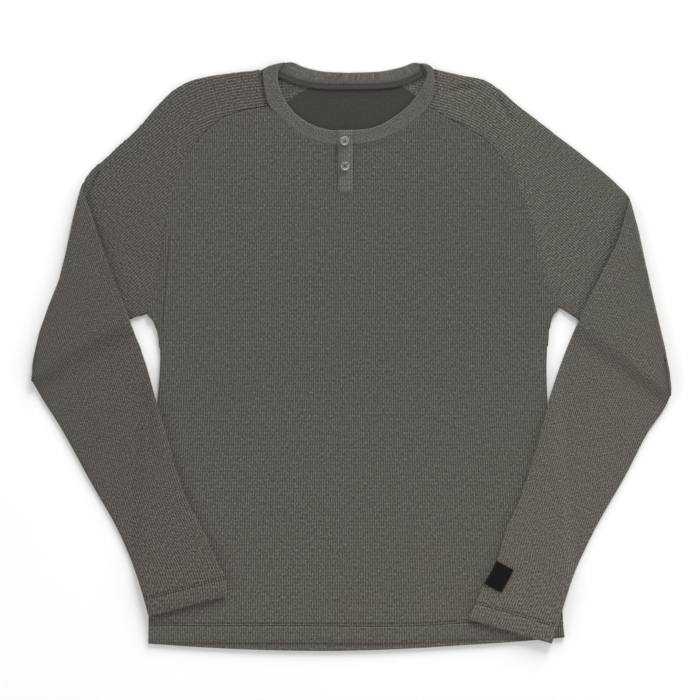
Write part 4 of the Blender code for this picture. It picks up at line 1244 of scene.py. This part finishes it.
def closed(mesh):
    """Merge a closed form's doubles, fill its open ends and turn its faces outward."""
    bmesh.ops.remove_doubles(mesh, verts=mesh.verts, dist=SAME_POINT)
    bmesh.ops.holes_fill(mesh, edges=mesh.edges, sides=0)
    bmesh.ops.recalc_face_normals(mesh, faces=mesh.faces)
    return mesh


rib_knit = knit_material("fine rib knit, charcoal heather", ("#2b2a28", "#52504c", "#86837d"),
                         BAND_RIB, BAND_BAR, relief=0.08, rib_shade=0.14, fleck_size=1.4,
                         fleck_share=1.9)
mesh = closed(grid_of_cloth(len(band_turn) - 1, len(BAND_SECTION) - 1, place_band))
neckband = finished("neckband_rib", mesh, [rib_knit], "neckband")


def beside(line, distance):
    """A line moved sideways, to its left as it runs where the distance is positive."""
    run = np.gradient(line, axis=0)
    run /= np.linalg.norm(run, axis=1, keepdims=True)
    return line + distance * np.stack([-run[:, 1], run[:, 0]], axis=1)


# Needle lines on the front panel beside the neck seam, clear of the placket.
neck_needles = []
for inset in NECK_NEEDLES:
    line = beside(front_neck["sewn_"], -inset)
    line = line[line[:, 1] < NECK_STITCH_TOP]
    for part in (line[line[:, 0] < PLACKET["left"] - PLACKET_CLEAR["left"]],
                 line[line[:, 0] > PLACKET["right"] + PLACKET_CLEAR["right"]]):
        level = np.full(len(part), FRONT_LEVEL - NECK_STITCH_SINK)
        neck_needles.append(np.column_stack([part, level]))
neck_stitches = stitch_line("neck_stitches", neck_needles)

# The back neck tape: a narrow cotton twill tape that covers the seam of neckband and back
# inside the neck, stitched along both of its edges.

TAPE_MIDDLE = table(
    "x y",
    (-97, 347), (-88.5, 344), (-76, 339), (-60, 333.5), (-40, 330), (-3, 329), (34, 329.8),
    (57, 332.5), (75, 339), (86, 344.5))
TAPE_WIDTH = 8.0
TAPE_LEVEL = 2.75                    # its upper face
TAPE_WALL = 0.8
TAPE_ACROSS = (0.0, 0.3, 0.9, 1.6, 4.0, 6.4, 7.1, 7.7, 8.0)
TAPE_EDGE_ROLL = 0.35
TAPE_EDGE_OVER = 0.9
TAPE_NEEDLES = (-2.6, 2.6)           # from the tape's middle
TAPE_STITCH_DIP = dict(at=1.6, over=0.5, depth=0.15)
TAPE_STITCH_SINK = 0.05
TAPE_STEPS = 150

# Twill: fine slanting wales about 0.9 mm apart, matt and darker than the knit.
twill, tree, surface = new_material("cotton twill tape, charcoal",
                                    {"Roughness": 0.85, "Sheen Weight": 0.05})
lie = add_node(tree, "UVMap", uv_map="grain")
slanted = add_node(tree, "Mapping", {"Vector": lie, "Rotation": (0, 0, math.radians(58))})
wales = add_node(tree, "TexWave", {"Vector": slanted, "Scale": 175.0, "Distortion": 0.6,
                                   "Detail": 1.0, "Detail Scale": 300.0})
lint = add_node(tree, "TexNoise", {"Vector": lie, "Scale": 700.0, "Detail": 2.0})
woven = add_node(tree, "Math", {0: wales.outputs["Fac"], 1: 0.35, 2: lint},
                 operation="MULTIPLY_ADD")
add_node(tree, "ValToRGB", {"Fac": woven},
         ((0.0, linear("#1f1d1c")), (1.0, linear("#3a3735"))),
         into=surface.inputs["Base Color"])
add_node(tree, "Bump", {"Height": woven, "Distance": 0.0001},
         into=surface.inputs["Normal"])

tape_middle = smooth_curve(places(TAPE_MIDDLE), np.linspace(0, 1, TAPE_STEPS + 1))


def place_tape(column, row):
    """The tape's upper face."""
    lines = np.array([beside(tape_middle, reach - TAPE_WIDTH / 2) for reach in TAPE_ACROSS])
    plan = lines[row.astype(int), column.astype(int)]
    across = np.array(TAPE_ACROSS)[row.astype(int)]
    edge = np.minimum(across, TAPE_WIDTH - across)
    level = TAPE_LEVEL - TAPE_EDGE_ROLL * (1 - ease(edge / TAPE_EDGE_OVER))
    level -= groove(edge, **TAPE_STITCH_DIP)
    way = column / TAPE_STEPS * length_of(tape_middle)
    return np.column_stack([plan, level]), np.stack([way, across], axis=1)


mesh = grid_of_cloth(TAPE_STEPS, len(TAPE_ACROSS) - 1, place_tape)
neck_tape = finished("neck_tape_twill", mesh, [twill], "neck_tape", TAPE_WALL)
tape_needles = [np.column_stack([beside(tape_middle, reach)[2:-2],
                                 np.full(TAPE_STEPS - 3, TAPE_LEVEL - TAPE_STITCH_SINK)])
                for reach in TAPE_NEEDLES]
tape_stitches = stitch_line("neck_tape_stitches", tape_needles)


# ---------------------------------------------------------------- placket
# The button placket: a stand in the front's slit and an upper strip over it, both of the
# knit turned in at every edge.  The strip is edge-stitched and boxed at its foot.

PLACKET_LEVEL = 3.3                  # the upper strip's underside on the front panel
PLACKET_WALL = 0.8
PLACKET_FACE = 0.85                  # its face over its underside
BAND_LEVEL = BAND_AXIS * 2 - BAND_DROP + SEAM_GAP
BAND_STEP_AT = 255.0                 # where the strip runs from the panel on to the neckband
BAND_STEP_OVER = 6.0
STRIP_ACROSS = 26
STRIP_ALONG = 60
STRIP_EDGE = 1.2
STRIP_CLOSE = (0.0, 0.25, 0.7)       # the closer stations in from each edge
STRIP_ROUND = 0.5                    # how far its turned edges round down
STRIP_RIBS = 0.45                    # how much of the ribs' depth shows on a strip
STAND_SINK = 0.1
BOX_TOP = PLACKET["bottom"] + 9.0    # the box of stitches at the placket's foot
EDGE_STITCH_DIP = dict(at=1.7, over=0.6, depth=0.14)
BOX_STITCH_DIP = dict(at=BOX_TOP, over=0.7, depth=0.14)
# Above its box the strip swells between its stitches, and its foot is pressed thin.
SWELL = 0.12
SWELL_UP_OVER = 8.0
SWELL_IN_FROM = 2.0
SWELL_IN_OVER = 4.0
FOOT_PRESSED = 0.55
FOOT_OVER = 5.0
PLACKET_NEEDLE = dict(left=1.8, right=-1.8, bottom=1.8, top=-1.2)
PLACKET_STITCH_SINK = 0.12
PLACKET_PITCH = 2.6
# A third needle line, on the front panel to the right of the strip.
BESIDE_PLACKET = dict(x=2.4, low=199.0, high=254.0, points=60)


def strip_underside(y):
    """The strip lies on the front panel, then on the thicker neckband."""
    on_band = ease((y - BAND_STEP_AT + BAND_STEP_OVER) / BAND_STEP_OVER)
    return PLACKET_LEVEL + (BAND_LEVEL - PLACKET_LEVEL) * on_band


def spread_to_edges(count, length):
    """Even stations with closer ones at both ends, where an edge is turned."""
    inner = np.linspace(STRIP_EDGE, length - STRIP_EDGE, count - 5)
    close = np.array(STRIP_CLOSE)
    return np.concatenate([close, inner, length - close[::-1]])


def turned_edge(x, y, box):
    """How far a strip's turned edges round down, and how far in from them each point is."""
    inset = np.minimum.reduce([x - box["left"], box["right"] - x,
                               y - box["bottom"], box["top"] - y])
    return STRIP_ROUND * (1 - ease(inset / STRIP_EDGE)), inset


def strip_mesh(box, upper_face):
    """The face of a placket strip, on its own ribs."""
    across = box["left"] + spread_to_edges(STRIP_ACROSS, box["right"] - box["left"])
    upward = box["bottom"] + spread_to_edges(STRIP_ALONG, box["top"] - box["bottom"])

    def place(column, row):
        x, y = across[column.astype(int)], upward[row.astype(int)]
        round_off, inset = turned_edge(x, y, box)
        level = upper_face(x, y, inset) - round_off - STRIP_RIBS * rib_dip(x)
        return np.column_stack([x, y, level]), np.stack([x, y], axis=1)
    return grid_of_cloth(len(across) - 1, len(upward) - 1, place)


placket_knit = knit_material("placket knit, charcoal heather", ("#312f2d", "#5c5a56", "#918e87"),
                             RIB, BAR, relief=0.1, rib_shade=0.08, fleck_size=1.4,
                             fleck_share=1.1)
stand_mesh = strip_mesh(STAND, lambda x, y, inset: np.full(len(x), FRONT_LEVEL - STAND_SINK))
button_stand = finished("button_stand_knit", stand_mesh, [placket_knit], "button_stand",
                        PLACKET_WALL)


def placket_face(x, y, inset):
    """The upper strip's face, sunk a little along its edge stitching and round its box."""
    sunk = groove(inset, **EDGE_STITCH_DIP) + groove(y, **BOX_STITCH_DIP)
    swell = SWELL * ease((y - BOX_TOP) / SWELL_UP_OVER)
    swell = swell * ease((inset - SWELL_IN_FROM) / SWELL_IN_OVER)
    foot = FOOT_PRESSED * (1 - ease((y - PLACKET["bottom"]) / FOOT_OVER))
    return strip_underside(y) + PLACKET_FACE - sunk - foot + swell


placket = finished("placket_knit", strip_mesh(PLACKET, placket_face), [placket_knit],
                   "placket", PLACKET_WALL)


def stitched_path(corners, level):
    """A needle line through corners on the placket, every millimetre."""
    corners = np.array(corners, float)
    line = along(corners, np.linspace(0, 1, int(length_of(corners))))
    return np.column_stack([line, strip_underside(line[:, 1]) + level])


inner = {side: PLACKET[side] + reach for side, reach in PLACKET_NEEDLE.items()}
on_strip = PLACKET_FACE - PLACKET_STITCH_SINK
placket_needles = [
    stitched_path([(inner["left"], inner["top"]), (inner["left"], inner["bottom"]),
                   (inner["right"], inner["bottom"]), (inner["right"], inner["top"])], on_strip),
    stitched_path([(inner["left"], BOX_TOP), (inner["right"], BOX_TOP)], on_strip),
    np.array([(PLACKET["right"] + BESIDE_PLACKET["x"], y, FRONT_LEVEL - NECK_STITCH_SINK)
              for y in np.linspace(BESIDE_PLACKET["low"], BESIDE_PLACKET["high"],
                                   BESIDE_PLACKET["points"])])]
placket_stitches = stitch_line("placket_stitches", placket_needles, PLACKET_PITCH)


# ---------------------------------------------------------------- buttons
# Two dished four-hole buttons of cast polyester, cloudy grey and half see-through, sewn on
# through crossed holes with the cloth's own thread.

BUTTON_NODES = ("button_upper", "button_lower")
BUTTON_DISH = 0.55                   # the dish's height as a share of the button's
THREAD_HALF = (1.7, 0.4, 0.3)        # half the size of a crossing of thread
THREAD_RISE = 0.1
THREAD_TURNS = (45, 135)

# Cloudy clear resin: pale swirls in grey, a soft gloss and light that goes in a little.
plastic, tree, surface = new_material("cast polyester, cloudy grey, polished",
                                      {"Roughness": 0.2, "IOR": 1.54, "Transmission Weight": 0.6})
where = add_node(tree, "TexCoord")
cloud = add_node(tree, "TexNoise", {"Vector": where.outputs["Object"], "Scale": 260.0,
                                    "Detail": 2.0, "Distortion": 1.2})
add_node(tree, "ValToRGB", {"Fac": cloud},
         ((0.3, linear("#7f7e7a")), (0.7, linear("#e4e2dc"))),
         into=surface.inputs["Base Color"])
for name in BUTTON_NODES:
    node = bpy.data.objects[name]
    for slot in node.material_slots:
        slot.material = plastic
    low, high = (np.array(corner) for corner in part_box(name))
    centre = (low + high) / 2
    centre[2] = low[2] + BUTTON_DISH * (high[2] - low[2]) + THREAD_RISE * MM
    mesh = bmesh.new()
    for turn in THREAD_TURNS:
        lie = (Matrix.Translation(centre) @ Matrix.Rotation(math.radians(turn), 4, "Z")
               @ Matrix.Diagonal([half * MM for half in THREAD_HALF] + [1]))
        bmesh.ops.create_icosphere(mesh, subdivisions=2, radius=1.0, matrix=lie)
    finished(f"{name}_thread", mesh, [thread])


# ---------------------------------------------------------------- sleeve label
# A plain black label, woven in polyester satin with heat-cut ends, folded over the inner
# edge of the right forearm near its cuff and sewn down.

LABEL_HIGH = -250.0
LABEL_LOW = -278.0
LABEL_WIDTH = 22.5
LABEL_WRAP = 112.0                   # degrees round the sleeve's edge
LABEL_WALL = 0.7
LABEL_ROWS = 24
LABEL_FLAT = 16
LABEL_ARC = 10
LABEL_REACH = TUBE_RADIUS + SEAM_GAP + LABEL_WALL
LABEL_STITCH_DIP = dict(at=1.5, over=0.5, depth=0.12)
LABEL_GRAIN = 3.0                    # how far the weave runs on for each radian round the edge

# Satin: long black floats with a faint lengthwise line every 0.5 mm, and a low gloss.
satin, tree, surface = new_material("woven polyester satin, black",
                                    {"Roughness": 0.7, "Specular IOR Level": 0.15})
lie = add_node(tree, "UVMap", uv_map="grain")
floats = add_node(tree, "TexWave", {"Vector": lie, "Scale": 310.0, "Distortion": 0.8,
                                    "Detail": 1.0}, bands_direction="Y")
add_node(tree, "ValToRGB", {"Fac": floats.outputs["Fac"]},
         ((0.0, linear("#030303")), (1.0, linear("#0b0b0b"))),
         into=surface.inputs["Base Color"])
add_node(tree, "Bump", {"Height": floats.outputs["Fac"], "Distance": 0.00006},
         into=surface.inputs["Normal"])


def place_label(column, row):
    """The label's outer face: flat on the forearm, then round its inner edge."""
    y = LABEL_HIGH + (LABEL_LOW - LABEL_HIGH) * row / LABEL_ROWS
    edge = fine_curve(FOREARM_INNER, "right_")[::-1]
    start = np.stack([np.interp(y, edge[:, 1], edge[:, 0]), y], axis=1)
    run = start[y.argmin()] - start[y.argmax()]
    inward = np.array((-run[1], run[0])) / np.linalg.norm(run)
    flat = np.clip(1 - column / LABEL_FLAT, 0, 1) * (LABEL_WIDTH - TUBE_RADIUS)
    turn = np.radians(LABEL_WRAP) * np.clip((column - LABEL_FLAT) / LABEL_ARC, 0, 1)
    reach = TUBE_RADIUS + flat - LABEL_REACH * np.sin(turn)
    inset = np.minimum(row, LABEL_ROWS - row) / LABEL_ROWS * (LABEL_HIGH - LABEL_LOW)
    level = FOREARM_LIFT + TUBE_RADIUS + LABEL_REACH * np.cos(turn)
    level -= groove(inset, **LABEL_STITCH_DIP)
    grain = np.stack([flat + LABEL_GRAIN * turn, y], axis=1)
    return np.column_stack([start + reach[:, None] * inward, level]), grain


mesh = grid_of_cloth(LABEL_FLAT + LABEL_ARC, LABEL_ROWS, place_label)
label = finished("cuff_label_satin", mesh, [satin], "cuff_label", LABEL_WALL)
